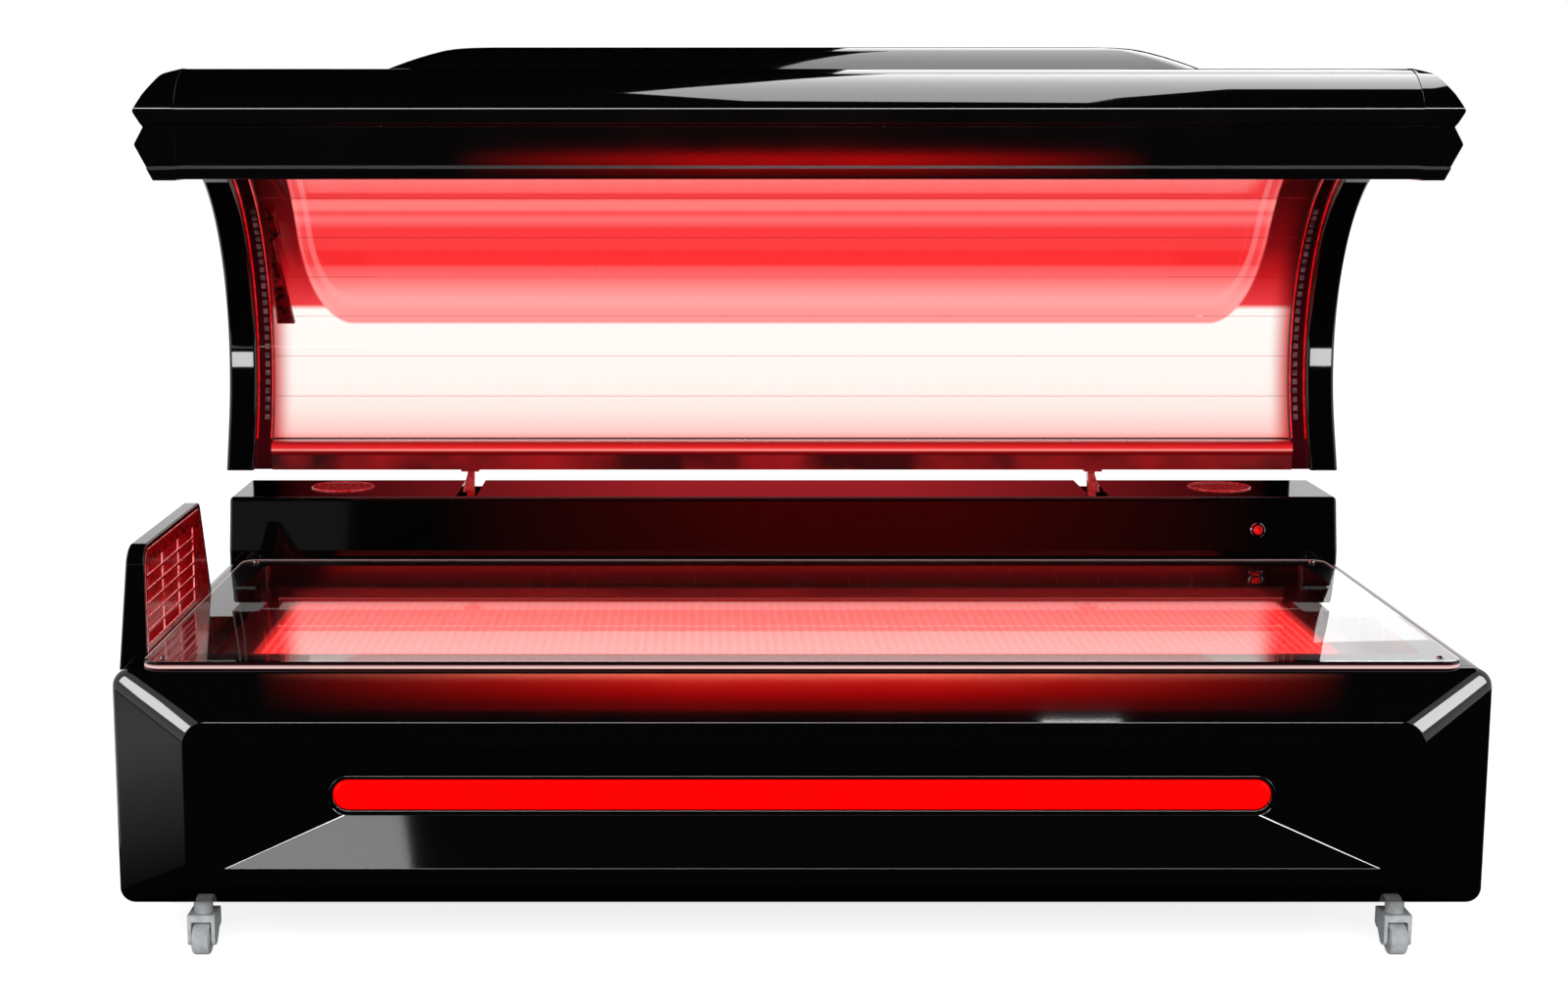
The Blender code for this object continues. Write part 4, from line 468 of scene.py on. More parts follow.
def mix_finishes(colours):
    """Mix every finish once."""
    FINISHES.update({
        "gloss_black": gloss_black_lacquer(colours),
        "satin_black": satin_black_abs(),
        "acrylic": cast_acrylic("cast_acrylic"),
        "lying_acrylic": cast_acrylic("cast_acrylic_lying_plate", 0.028),
        "acrylic_edge": acrylic_edge(),
        "lamp_bar": red_diffuser(colours),
        "canopy_lamps": canopy_lamp_panel(),
        "bed_lamps": bed_lamp_panel(),
        "perforated": perforated_red_steel(colours),
        "chrome": plated_metal("chrome_plated_steel", "#d9dadb", 0.03, 0.09, 2.0),
        "zinc": plated_metal("zinc_plated_steel", "#a9abad", 0.25, 0.45, 5.0),
        "reflector": plated_metal("anodised_reflector_sheet", "#8d7577", 0.18, 0.32, 8.0),
        "tube": powder_coated_steel(),
        "nylon": moulded_nylon("moulded_grey_nylon", "#e3e6e8", "#c9cdd0", 1.0),
        "tread": moulded_nylon("grey_rubber_tread", "#d6dadd", "#bcc1c5", 0.8),
        "red_button": red_lens("red_button_lens", "#f0191d", 0.5),
        "red_bead": red_lens("red_light_bead", "#d80e14", 0.8),
        "grille_face": red_lens("dark_red_grille_face", "#4a080b", 0.25),
        # Painted red light on the outlet's grille faces, edges and lining, which are no lamps
        "grille_edge": red_lens("red_lit_grille_edges", "#f08a8c", 0.75),
        "outlet_glow": red_lens("red_lit_outlet_lining", "#7a0c10", 0.45),
        # Red speaker mesh and ring with painted red light of the lamps as a glow
        "mesh_painted_red_light": red_lens("red_enamel_mesh", "#a83236", 0.28),
        "ring_painted_red_light": red_lens("red_enamel_ring", "#c8383c", 0.45),
        "lamp_clip": moulded_nylon("smoked_clip", "#8a6064", "#1a0a0b", 1.0),
        # Painted red light of the lamps on the hinge arms and struts, red with a glow
        "strut_painted_red_light": red_lens("red_enamel_strut", "#b4383a", 0.30),
        # Smoked holder with painted red light of the lamps as a faint glow
        "lamp_holder": red_lens("smoked_red_holder", "#3a0609", 0.10),
        # Painted reflection of the red lamps on the rail and the frames' flanges
        "rail_lacquer": red_lit_lacquer("red_lit_rail_lacquer", [
            (RAIL_STEP_Z, "#4a0406"), (RAIL_TOP - 0.0190, "#8a080c"), (RAIL_TOP - 0.0165, "#fb9a94"),
            (RAIL_TOP - 0.0130, "#ee2c30"), (RAIL_TOP - 0.0060, "#cc181c"), (RAIL_TOP, "#700a0d"),
        ]),
        "flange_lacquer": red_lit_lacquer("red_lit_flange_lacquer", [
            (CANOPY_BOTTOM, "#2a0305"), (RAIL_TOP, "#34050a"), (0.900, "#38060a"), (1.050, "#260306"),
            (1.250, "#120102"),
        ]),
    })


# Outlines


def filleted(corners, steps=CORNER_STEPS):
    """Round each (a, b, radius) corner of a closed outline."""
    points = []
    for index, (a, b, radius) in enumerate(corners):
        here = Vector((a, b))
        if radius == 0:
            points.append((a, b))
            continue
        before = (Vector(corners[index - 1][:2]) - here).normalized()
        after = (Vector(corners[(index + 1) % len(corners)][:2]) - here).normalized()
        half = before.angle(after) / 2
        centre = here + (before + after).normalized() * (radius / math.sin(half))
        reach = radius / math.tan(half)
        first = here + before * reach - centre
        last = here + after * reach - centre
        start = math.atan2(first.y, first.x)
        turn = (math.atan2(last.y, last.x) - start + math.pi) % (2 * math.pi) - math.pi
        for step in range(steps + 1):
            angle = start + turn * step / steps
            points.append((centre.x + radius * math.cos(angle), centre.y + radius * math.sin(angle)))
    return points


def rectangle(half_width, low, high, top_radius, bottom_radius):
    """A rounded rectangle, centred across."""
    return filleted([
        (-half_width, low, bottom_radius),
        (half_width, low, bottom_radius),
        (half_width, high, top_radius),
        (-half_width, high, top_radius),
    ])


def box_outline(a_low, a_high, b_low, b_high, radius):
    """A small rounded rectangle between two corners."""
    corners = ((a_low, b_low), (a_high, b_low), (a_high, b_high), (a_low, b_high))
    return filleted([(a, b, radius) for a, b in corners], 3)


def stadium(length, height, centre):
    """A slot outline with round ends."""
    end = height * 0.495
    return rectangle(length / 2, centre - height / 2, centre + height / 2, end, end)


def beside(path, distance):
    """An open path's parallel, to its left for a positive distance."""
    moved = []
    for index, point in enumerate(path):
        here = Vector(point)
        back = here - Vector(path[max(index - 1, 0)])
        ahead = Vector(path[min(index + 1, len(path) - 1)]) - here
        if back.length == 0:
            back = ahead
        if ahead.length == 0:
            ahead = back
        normals = [Vector((-run.y, run.x)).normalized() for run in (back, ahead)]
        middle = (normals[0] + normals[1]).normalized()
        moved.append(tuple(here + middle * (distance / max(middle.dot(normals[0]), 0.2))))
    return moved


def ribbon(path, thickness):
    """The closed section of a wall that follows an open path, with the wall on its left."""
    return list(path) + beside(path, thickness)[::-1]


def circle(radius, steps=ROUND_STEPS, centre=(0, 0)):
    """Points of a circle."""
    angles = [2 * math.pi * step / steps for step in range(steps)]
    return [(centre[0] + radius * math.cos(a), centre[1] + radius * math.sin(a)) for a in angles]


def across(outline, x):
    """An outline of (y, z) points, stood up at one place along the bed."""
    return [(x, a, b) for a, b in outline]


def upright(outline, y):
    """An outline of (x, z) points, stood up at one depth."""
    return [(a, y, b) for a, b in outline]


def level(outline, z):
    """An outline of (x, y) points, laid flat at one height."""
    return [(a, b, z) for a, b in outline]


def mirrored(rings, side):
    """Rings as drawn for the right side, or their mirror image for the left."""
    return [[(side * x, y, z) for x, y, z in ring] for ring in rings]


# Modelling steps


def put(piece, ring):
    """Place the selected vertices of the ring that is being drawn."""
    work = bmesh.from_edit_mesh(piece.data)
    order = work.verts.layers.int["order"]
    for vertex in work.verts:
        if vertex.select:
            vertex.co = ring[vertex[order]]
    bmesh.update_edit_mesh(piece.data)


def lofted(name, rings, ends=True):
    """Draw a ring, extrude it from place to place, close the ends and turn the faces outwards."""
    bpy.ops.object.select_all(action="DESELECT")
    bpy.ops.mesh.primitive_circle_add(vertices=len(rings[0]), radius=1.0)
    piece = bpy.context.object
    piece.name = name
    piece.data.name = name
    bpy.ops.object.mode_set(mode="EDIT")
    work = bmesh.from_edit_mesh(piece.data)
    order = work.verts.layers.int.new("order")
    for index, vertex in enumerate(work.verts):
        vertex[order] = index
    bmesh.update_edit_mesh(piece.data)
    put(piece, rings[0])
    for ring in rings[1:]:
        bpy.ops.mesh.extrude_region_move()
        put(piece, ring)
    bpy.ops.mesh.select_all(action="SELECT")
    bpy.ops.mesh.remove_doubles(threshold=MERGE)
    if ends:
        bpy.ops.mesh.fill_holes(sides=0)
    bpy.ops.mesh.select_all(action="SELECT")
    bpy.ops.mesh.normals_make_consistent(inside=False)
    bpy.ops.object.mode_set(mode="OBJECT")
    return piece


def looped(name, rings):
    """A closed tube of rings, such as a bezel or a frame."""
    return lofted(name, rings + rings[:1], ends=False)


def straight(name, outline, x_low, x_high):
    """A bar of one (y, z) outline along the bed."""
    return lofted(name, [across(outline, x_low), across(outline, x_high)])


def pick(piece):
    """Select one piece and make it the active one."""
    bpy.ops.object.select_all(action="DESELECT")
    piece.select_set(True)
    bpy.context.view_layer.objects.active = piece


def modify(piece, kind, **settings):
    """Add a modifier to a piece and apply it."""
    pick(piece)
    modifier = piece.modifiers.new(kind.lower(), kind)
    for name, value in settings.items():
        setattr(modifier, name, value)
    bpy.ops.object.modifier_apply(modifier=modifier.name)
    return piece


def cut(piece, tool, operation="DIFFERENCE"):
    """Cut a piece with a tool, and put the tool away."""
    modify(piece, "BOOLEAN", object=tool, operation=operation, solver="EXACT")
    bpy.data.objects.remove(tool)
    return piece


def joined(pieces):
    """Join pieces into the first."""
    bpy.ops.object.select_all(action="DESELECT")
    for piece in pieces:
        piece.select_set(True)
    bpy.context.view_layer.objects.active = pieces[0]
    bpy.ops.object.join()
    return pieces[0]


def soften(piece, width, chosen, segments=4):
    """Bevel the edges whose two ends are both chosen by place."""
    pick(piece)
    bpy.ops.object.mode_set(mode="EDIT")
    bpy.ops.mesh.select_all(action="DESELECT")
    bpy.ops.mesh.select_mode(type="EDGE")
    work = bmesh.from_edit_mesh(piece.data)
    for edge in work.edges:
        edge.select = all(chosen(vertex.co) for vertex in edge.verts)
    bmesh.update_edit_mesh(piece.data)
    bpy.ops.mesh.bevel(offset=width, segments=segments, affect="EDGES", clamp_overlap=True)
    bpy.ops.mesh.select_mode(type="VERT")
    bpy.ops.object.mode_set(mode="OBJECT")
    return piece


def rounded(piece, width, segments=3, angle=40.0):
    """Round every edge that is sharper than an angle in degrees."""
    return modify(
        piece, "BEVEL", width=width, segments=segments, limit_method="ANGLE", angle_limit=math.radians(angle)
    )


def finished(piece, body, slot, finish, *nodes, smooth=35.0):
    """Shade a piece, give it its finish, and let it ride on its body in place of its nodes."""
    pick(piece)
    bpy.ops.object.shade_smooth_by_angle(angle=math.radians(smooth))
    modify(piece, "WEIGHTED_NORMAL", keep_sharp=True, weight=60)
    piece.data.materials.clear()
    piece.data.materials.append(FINISHES[finish])
    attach(piece, body)
    if nodes:
        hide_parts(*nodes)
    return piece


def second_finish(piece, finish, chosen):
    """Give the chosen faces of a finished piece another finish."""
    piece.data.materials.append(FINISHES[finish])
    for face in piece.data.polygons:
        if chosen(face):
            face.material_index = 1


def fine_copy(node_name, name):
    """A copy of a CAD node with its triangles merged into whole faces, ready for rounding."""
    pick(frame["nodes"][node_name])
    bpy.ops.object.duplicate()
    piece = bpy.context.object
    piece.name = name
    piece.data.name = name
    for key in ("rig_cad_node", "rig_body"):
        del piece[key]
    bpy.ops.object.mode_set(mode="EDIT")
    bpy.ops.mesh.select_all(action="SELECT")
    bpy.ops.mesh.remove_doubles(threshold=MERGE)
    bpy.ops.mesh.dissolve_limited(angle_limit=math.radians(1.0))
    bpy.ops.object.mode_set(mode="OBJECT")
    return piece


def coat(finish, *names):
    """Give CAD nodes that stay as they are a finish."""
    for name in names:
        materials = frame["nodes"][name].data.materials
        materials.clear()
        materials.append(FINISHES[finish])


# Front of the base

PANEL_X = END_X - 0.121
PANEL_LOW = BASE_BOTTOM + 0.047
PANEL_HIGH = BASE_TOP - 0.073
RECESS_X = PANEL_X - 0.044
RECESS_LOW = PANEL_LOW + 0.028
RECESS_HIGH = PANEL_HIGH - 0.041
SLOT_LENGTH = 1.514
SLOT_HEIGHT = 0.065
SLOT_Z = (RECESS_LOW + RECESS_HIGH) / 2 + 0.0105
SLOT_Y = FRONT_Y + 0.040
BEZEL_WIDTH = 0.007


def base_outline():
    """The rounded section of the base."""
    return rectangle(END_X, BASE_BOTTOM, BASE_TOP, 0.030, 0.023)


def slot_outline(draw_in):
    """The light bar's slot, made smaller by a length."""
    return stadium(SLOT_LENGTH - draw_in, SLOT_HEIGHT - draw_in, SLOT_Z)


def front_fascia(sizes):
    """Mitred facets, raised panel and funnel, with every edge softly rounded."""
    slot = slot_outline(0)
    rings = [
        upright(base_outline(), FASCIA_HIGH.y),
        upright(base_outline(), RIM_Y),
        upright(rectangle(PANEL_X, PANEL_LOW, PANEL_HIGH, 0.038, 0.038), FRONT_Y),
        upright(rectangle(RECESS_X, RECESS_LOW, RECESS_HIGH, 0.020, 0.020), FRONT_Y),
        upright(slot, SLOT_Y),
        upright(slot, SLOT_Y + 0.015),
    ]
    piece = lofted("front_fascia_skin", rings, ends=False)
    soften(piece, 0.0015, lambda co: abs(co.y - SLOT_Y) < FIT, 2)
    soften(piece, sizes.shoulder_radius, lambda co: abs(co.y - RIM_Y) < FIT, 5)
    soften(piece, sizes.panel_edge, lambda co: abs(co.y - FRONT_Y) < FIT, 4)
    modify(piece, "SOLIDIFY", thickness=WALL, offset=-1.0)
    return finished(piece, "base", "gloss_black", "gloss_black", "front_fascia")


def light_bar():
    """Bezel with a rolled front edge, and the crowned red lens."""
    front, back = (corner.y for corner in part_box("light_bar_bezel"))
    shrink = 2 * (FIT + BEZEL_WIDTH)
    outer, inner = slot_outline(2 * FIT), slot_outline(shrink)
    bezel = looped("light_bar_trim", [
        upright(outer, front), upright(outer, back), upright(inner, back), upright(inner, front),
    ])
    rounded(bezel, 0.0018, 3)
    finished(bezel, "base", "satin_black", "gloss_black", "light_bar_bezel")
    lens_front, lens_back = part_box("light_bar_lens")
    rings = []
    crown = 0.004
    for step in range(6):
        angle = math.radians(90 * step / 5)
        draw = shrink + 2 * FIT + 4 * crown * (1 - math.sin(angle))
        y = lens_front.y + crown * (1 - math.cos(angle))
        rings.append(upright(slot_outline(draw), y))
    rings.append(upright(slot_outline(shrink + 2 * FIT), lens_back.y))
    lens = lofted("light_bar_cover", rings)
    finished(lens, "base", "red_lens", "lamp_bar", "light_bar_lens")


class BED_OT_front(bpy.types.Operator):
    """Model the front fascia, the light bar's bezel and its lens"""

    bl_idname = "bed.front"
    bl_label = "Front Fascia and Light Bar"

    def execute(self, context):
        front_fascia(context.scene.bed_sizes)
        light_bar()
        return {"FINISHED"}


# Ends and back of the base


def end_cover(side, word):
    """Side cover that rounds over into its lips."""
    lip = 0.050
    path = filleted([
        (END_X - lip, BASE_BOTTOM, 0),
        (END_X, BASE_BOTTOM, 0.023),
        (END_X, BASE_TOP, 0.030),
        (END_X - lip, BASE_TOP, 0),
    ])
    outline = ribbon(path, WALL)
    rings = [upright(outline, BASE_LOW.y), upright(outline, BASE_HIGH.y)]
    piece = lofted(f"{word}_side_cover", mirrored(rings, side))
    rounded(piece, 0.0010, 2, 50)
    finished(piece, "base", "gloss_black", "gloss_black", f"{word}_end_cover")


class BED_OT_covers(bpy.types.Operator):
    """Model the rounded end covers and finish the back"""

    bl_idname = "bed.covers"
    bl_label = "End Covers"

    def execute(self, context):
        for side, word in SIDES:
            end_cover(side, word)
        coat("satin_black", "rear_cover", "mains_inlet")
        return {"FINISHED"}


# Lying plate


def lying_plate(sizes):
    """Clear plate with polished chamfers; its edge has a finish of its own."""
    edge = sizes.plate_edge
    half = PLATE_HIGH.x

    def ring(inset, z):
        radius = 0.030 - inset
        return level(rectangle(half - inset, PLATE_LOW.y + inset, PLATE_HIGH.y - inset, radius, radius), z)

    rings = [
        ring(edge, PLATE_LOW.z),
        ring(0, PLATE_LOW.z + edge),
        ring(0, PLATE_HIGH.z - edge),
        ring(edge, PLATE_HIGH.z),
    ]
    piece = lofted("lying_plate", rings)
    finished(piece, "base", "clear_acrylic", "lying_acrylic", "bed_acrylic")
    # The edge faces get painted light
    second_finish(piece, "acrylic_edge", lambda face: abs(face.normal.z) < 0.9)


def plate_screw(name, x, y):
    """Low domed screw with a six-sided socket."""
    steps = 24
    radius, rise, socket = 0.0065, 0.0028, 0.0025

    def hexagon(corner):
        points = []
        for step in range(steps):
            angle = 2 * math.pi * step / steps
            sector = angle % (math.pi / 3) - math.pi / 6
            reach = corner * math.cos(math.pi / 6) / math.cos(sector)
            points.append((x + reach * math.cos(angle), y + reach * math.sin(angle)))
        return points

    z = PLATE_HIGH.z
    rings = [
        level(circle(radius, steps, (x, y)), z),
        level(circle(radius, steps, (x, y)), z + rise * 0.35),
        level(circle(radius * 0.86, steps, (x, y)), z + rise * 0.80),
        level(circle(radius * 0.62, steps, (x, y)), z + rise),
        level(hexagon(socket), z + rise),
        level(hexagon(socket), z + rise * 0.2),
    ]
    screw = lofted(name, rings)
    finished(screw, "base", "chrome", "chrome")


class BED_OT_plate(bpy.types.Operator):
    """Model the clear lying plate and its screws, and finish the lit tray below it"""

    bl_idname = "bed.plate"
    bl_label = "Lying Plate"

    def execute(self, context):
        lying_plate(context.scene.bed_sizes)
        inset = 0.030
        for x_word, x in (("left", inset - PLATE_HIGH.x), ("right", PLATE_HIGH.x - inset)):
            for y_word, y in (("front", PLATE_LOW.y + inset), ("rear", PLATE_HIGH.y - inset)):
                plate_screw(f"plate_screw_{y_word}_{x_word}", x, y)
        coat("satin_black", "bed_rim")
        coat("reflector", "bed_reflector_tray")
        coat("bed_lamps", "bed_light_panel")
        return {"FINISHED"}


# Console

CONSOLE_TOP = CONSOLE_HIGH.z
CONSOLE_CREASE_Z = BASE_TOP + 0.0295
CONSOLE_TOP_FRONT_Y = CONSOLE_LOW.y + 0.0217
CONSOLE_TOP_REAR_Y = CONSOLE_TOP_FRONT_Y + 0.221
HINGE_X = 0.620


def console_outline(edge):
    """Side view of the console, from its foot over the top to its back."""
    return filleted([
        (CONSOLE_LOW.y, CONSOLE_LOW.z, 0),
        (CONSOLE_LOW.y, CONSOLE_CREASE_Z, 0.002),
        (CONSOLE_TOP_FRONT_Y, CONSOLE_TOP, edge),
        (CONSOLE_TOP_REAR_Y, CONSOLE_TOP, edge),
        (CONSOLE_HIGH.y, CONSOLE_TOP - 0.033, edge),
        (CONSOLE_HIGH.y, CONSOLE_LOW.z, 0),
    ])


def console_housing(sizes):
    """Hollow tower with slots for the arms and holes for the speakers."""
    full = console_outline(sizes.console_edge)
    half = CONSOLE_HIGH.x
    bevel = 0.006
    rings = []
    for step in range(5):
        angle = math.radians(90 * step / 4)
        drawn_in = beside(full, -bevel * (1 - math.sin(angle)))
        rings.append(across(drawn_in, -half + bevel * (1 - math.cos(angle))))
    rings += [[(-x, y, z) for x, y, z in ring] for ring in reversed(rings)]
    piece = lofted("console_tower", rings)
    room = beside(full, -WALL)
    room[0] = (room[0][0], CONSOLE_LOW.z - WALL)
    room[-1] = (room[-1][0], CONSOLE_LOW.z - WALL)
    cut(piece, straight("room", room, WALL - half, half - WALL))
    slot_front, slot_rear = CONSOLE_TOP_FRONT_Y + 0.012, CONSOLE_HIGH.y + WALL
    slot_half, slot_depth, hole_radius = 0.020, 0.0165, 0.056
    for side, word in SIDES:
        slot = rectangle(slot_half, slot_front, slot_rear, 0.004, 0.008)
        slot = [(a + side * HINGE_X, b) for a, b in slot]
        cut(piece, lofted("slot", [level(slot, CONSOLE_TOP - slot_depth), level(slot, CONSOLE_TOP + WALL)]))
        grille_low, grille_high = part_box(f"{word}_speaker_grille")
        centre = (grille_low + grille_high) / 2
        hole = circle(hole_radius, ROUND_STEPS, (centre.x, centre.y))
        cut(piece, lofted("hole", [level(hole, CONSOLE_TOP - 2 * WALL), level(hole, CONSOLE_TOP + WALL)]))
    rounded(piece, 0.0008, 2, 50)
    finished(piece, "base", "gloss_black", "gloss_black", "console_housing")


def speaker_grille(word):
    """Round trim ring and the wire mesh that it holds."""
    low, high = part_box(f"{word}_speaker_grille")
    centre = (low + high) / 2
    radius = (high.x - low.x) / 2
    top, seat = high.z, CONSOLE_TOP + FIT
    profile = [
        (radius - 0.0055, seat),
        (radius, seat),
        (radius - 0.0004, top - 0.0008),
        (radius - 0.0015, top),
        (radius - 0.0040, top),
        (radius - 0.0055, top - 0.0010),
    ]
    rings = []
    for reach, z in profile:
        rings.append(level(circle(reach, 64, (centre.x, centre.y)), z))
    ring = looped(f"{word}_speaker_trim", rings)
    # The trim ring glows with painted red light of the lamps
    finished(ring, "base", "satin_black", "ring_painted_red_light", f"{word}_speaker_grille")
    bpy.ops.object.select_all(action="DESELECT")
    cells = 12
    bpy.ops.mesh.primitive_grid_add(x_subdivisions=cells, y_subdivisions=cells, size=2 * radius)
    mesh = bpy.context.object
    mesh.name = f"{word}_speaker_mesh"
    mesh.data.name = mesh.name
    bpy.ops.object.mode_set(mode="EDIT")
    bpy.ops.mesh.select_all(action="DESELECT")
    work = bmesh.from_edit_mesh(mesh.data)
    for vertex in work.verts:
        vertex.select = vertex.co.length > radius - 0.0045
    work.select_flush_mode()
    bmesh.update_edit_mesh(mesh.data)
    bpy.ops.mesh.delete(type="VERT")
    bpy.ops.mesh.select_all(action="SELECT")
    bpy.ops.transform.rotate(value=math.radians(45), orient_axis="Z", center_override=(0, 0, 0))
    bpy.ops.transform.translate(value=(centre.x, centre.y, top - 0.0014))
    bpy.ops.object.mode_set(mode="OBJECT")
    modify(mesh, "WIREFRAME", thickness=0.0016, use_even_offset=False)
    # The mesh glows with painted red light of the lamps
    finished(mesh, "base", "satin_black", "mesh_painted_red_light")


class BED_OT_console(bpy.types.Operator):
    """Model the console and its speaker grilles, and finish its speaker drivers and button"""

    bl_idname = "bed.console"
    bl_label = "Console"

    def execute(self, context):
        console_housing(context.scene.bed_sizes)
        for word in ("left", "right"):
            speaker_grille(word)
        coat("satin_black", "left_speaker_driver", "right_speaker_driver")
        coat("chrome", "start_button_ring")
        coat("red_button", "start_button")
        return {"FINISHED"}


# Air outlet


def vent_outline(inset, low):
    """Side view of the outlet, drawn in by an even margin."""
    rear_y = VENT_HIGH.y
    foot = VENT_LOW.z + 0.015
    lean = 0.083 / (VENT_HIGH.z - BASE_TOP)
    slant = math.hypot(1, lean)
    top = VENT_HIGH.z - inset

    def rear(z):
        return rear_y - (z - foot) * lean - inset * slant

    return filleted([
        (VENT_LOW.y + inset, low, 0),
        (rear(low), low, 0),
        (rear(top), top, 0.015),
        (VENT_LOW.y + inset, top, 0.030 - inset / 2),
    ], 8)


def air_outlet():
    """Wedge-shaped housing with a pocket, and the grille of bars that closes it."""
    inner_x = VENT_HIGH.x
    low = BASE_TOP - 0.015
    side_view = vent_outline(0, low)
    outer = [(-END_X + (z - low) * 0.095, y, z) for y, z in side_view]
    piece = lofted("air_outlet_housing", [outer, across(side_view, inner_x)])
    border = 0.010
    pocket = vent_outline(border, BASE_TOP + border)
    cut(piece, straight("pocket", pocket, inner_x - 0.016, inner_x + WALL))
    rounded(piece, 0.0030, 4)
    finished(piece, "base", "gloss_black", "gloss_black", "vent_housing")
    grille_low, grille_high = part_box("vent_grille")
    plate = vent_outline(border + FIT, BASE_TOP + border + FIT)
    grille = straight("air_outlet_grille", plate, grille_low.x, grille_high.x)
    bar, column_pitch, row_pitch = 0.0045, 0.121, 0.0225
    holes = []
    for column in range(3):
        for row in range(6):
            y = VENT_LOW.y + border + 2 * bar + column * column_pitch
            z = BASE_TOP + 0.024 + row * row_pitch
            hole = box_outline(y, y + column_pitch - bar, z, z + row_pitch - bar, 0.002)
            holes.append(straight("hole", hole, grille_low.x - WALL, grille_high.x + WALL))
    cut(grille, joined(holes))
    rounded(grille, 0.0006, 2)
    # The grille's faces and its bars' edges glow with painted red light of the lamps
    finished(grille, "base", "gloss_black", "grille_face", "vent_grille")
    second_finish(grille, "grille_edge", lambda face: abs(face.normal.x) < 0.8)
    lining = vent_outline(border + 4 * FIT, BASE_TOP + border + 4 * FIT)
    sheet = straight("air_outlet_lining", lining, inner_x - 0.0155, inner_x - 0.0145)
    rounded(sheet, 0.0003, 2)
    # The lining glows with painted red light of the lamps
    finished(sheet, "base", "gloss_black", "outlet_glow")


class BED_OT_air_outlet(bpy.types.Operator):
    """Model the air outlet and its grille, and finish the fan below it"""

    bl_idname = "bed.air_outlet"
    bl_label = "Air Outlet"

    def execute(self, context):
        air_outlet()
        coat("satin_black", "fan_frame", "fan_rotor")
        return {"FINISHED"}


# Canopy


def lower_y(depth, z):
    """Where the straight lower part of the canopy stands at a height."""
    reach = CANOPY_RADIUS + depth
    along = (CANOPY_CENTRE_Z + reach * math.sin(LOW_TURN) - z) / math.cos(LOW_TURN)
    return CANOPY_CENTRE_Y + reach * math.cos(LOW_TURN) + along * math.sin(LOW_TURN)


def arc_point(x, depth, angle):
    """A point of the canopy's arc at a depth behind its front edge."""
    reach = CANOPY_RADIUS + depth
    return (x, CANOPY_CENTRE_Y + reach * math.cos(angle), CANOPY_CENTRE_Z + reach * math.sin(angle))


def arc_rings(section, bottom=None, front=None, low=LOW_TURN, high=math.pi / 2, steps=ARC_STEPS):
    """Carry a section of (x, depth) points round the canopy."""
    rings = []
    if bottom is not None:
        rings.append([(x, lower_y(depth, bottom), bottom) for x, depth in section])
    for step in range(steps + 1):
        angle = low + (high - low) * step / steps
        rings.append([arc_point(x, depth, angle) for x, depth in section])
    if front is not None:
        rings.append([(x, front, CANOPY_CENTRE_Z + CANOPY_RADIUS + depth) for x, depth in section])
    return rings


def layer(half_width, depth, thickness):
    """Section of a sheet that spans the canopy."""
    back = depth + thickness
    return [(-half_width, depth), (half_width, depth), (half_width, back), (-half_width, back)]


def canopy_sheets():
    """Outer shell, both light panels and the curved acrylic in front of them."""
    half = FRAME_INNER_X
    shell = lofted(
        "canopy_back_shell",
        arc_rings(layer(half, CANOPY_DEPTH - WALL, WALL), CANOPY_BOTTOM, CANOPY_FRONT_Y),
    )
    finished(shell, "canopy", "gloss_black", "gloss_black", "canopy_shell")
    acrylic = lofted(
        "canopy_front_acrylic", arc_rings(layer(half, ACRYLIC_DEPTH, WALL), RAIL_TOP + FIT, CANOPY_FRONT_Y)
    )
    finished(acrylic, "canopy", "clear_acrylic", "acrylic", "canopy_acrylic")
    board = layer(half, PANEL_DEPTH, WALL)
    seam = FIT / CANOPY_RADIUS
    lower = lofted("lower_lamp_panel", arc_rings(board, RAIL_TOP, None, high=PANEL_SPLIT - seam))
    finished(lower, "canopy", "light_panel", "canopy_lamps", "canopy_light_panel_lower")
    upper = lofted("upper_lamp_panel", arc_rings(board, None, CANOPY_FRONT_Y, low=PANEL_SPLIT))
    finished(upper, "canopy", "light_panel", "canopy_lamps", "canopy_light_panel_upper")


def end_frame(side, word, sizes):
    """Arc-shaped end frame with its flange and two red light beads."""
    chamfer = 0.004
    section = [
        (END_X - chamfer, 0),
        (END_X, chamfer),
        (END_X, CANOPY_DEPTH),
        (FRAME_INNER_X + FIT, CANOPY_DEPTH),
        (FRAME_INNER_X + FIT, FLANGE_DEPTHS[1]),
        (FLANGE_INNER_X, FLANGE_DEPTHS[1]),
        (FLANGE_INNER_X, FLANGE_DEPTHS[0]),
        (FRAME_INNER_X + FIT, FLANGE_DEPTHS[0]),
        (FRAME_INNER_X + FIT, chamfer),
        (FRAME_INNER_X + FIT + chamfer, 0),
    ]
    piece = lofted(f"{word}_arc_frame", mirrored(arc_rings(section, CANOPY_BOTTOM, CANOPY_FRONT_Y), side))
    rounded(piece, sizes.frame_edge, 3)
    finished(piece, "canopy", "gloss_black", "gloss_black", f"{word}_canopy_end_frame")
    flange_x = FRAME_INNER_X + 2 * FIT
    # The flange's red is a painted reflection of the lamps
    second_finish(piece, "flange_lacquer", lambda face: abs(face.center.x) < flange_x)
    beads = ((FRAME_INNER_X - 0.0020, 0.0115), (FLANGE_INNER_X + 0.003, 0.0125))
    for index, (x, depth) in enumerate(beads):
        bead = circle(0.0015, 8, (x, depth))
        rings = arc_rings(bead, RAIL_TOP + 0.004, CANOPY_FRONT_Y + 0.004)
        bar = lofted(f"{word}_light_bead_{index + 1}", mirrored(rings, side))
        finished(bar, "canopy", "red_lens", "red_bead")


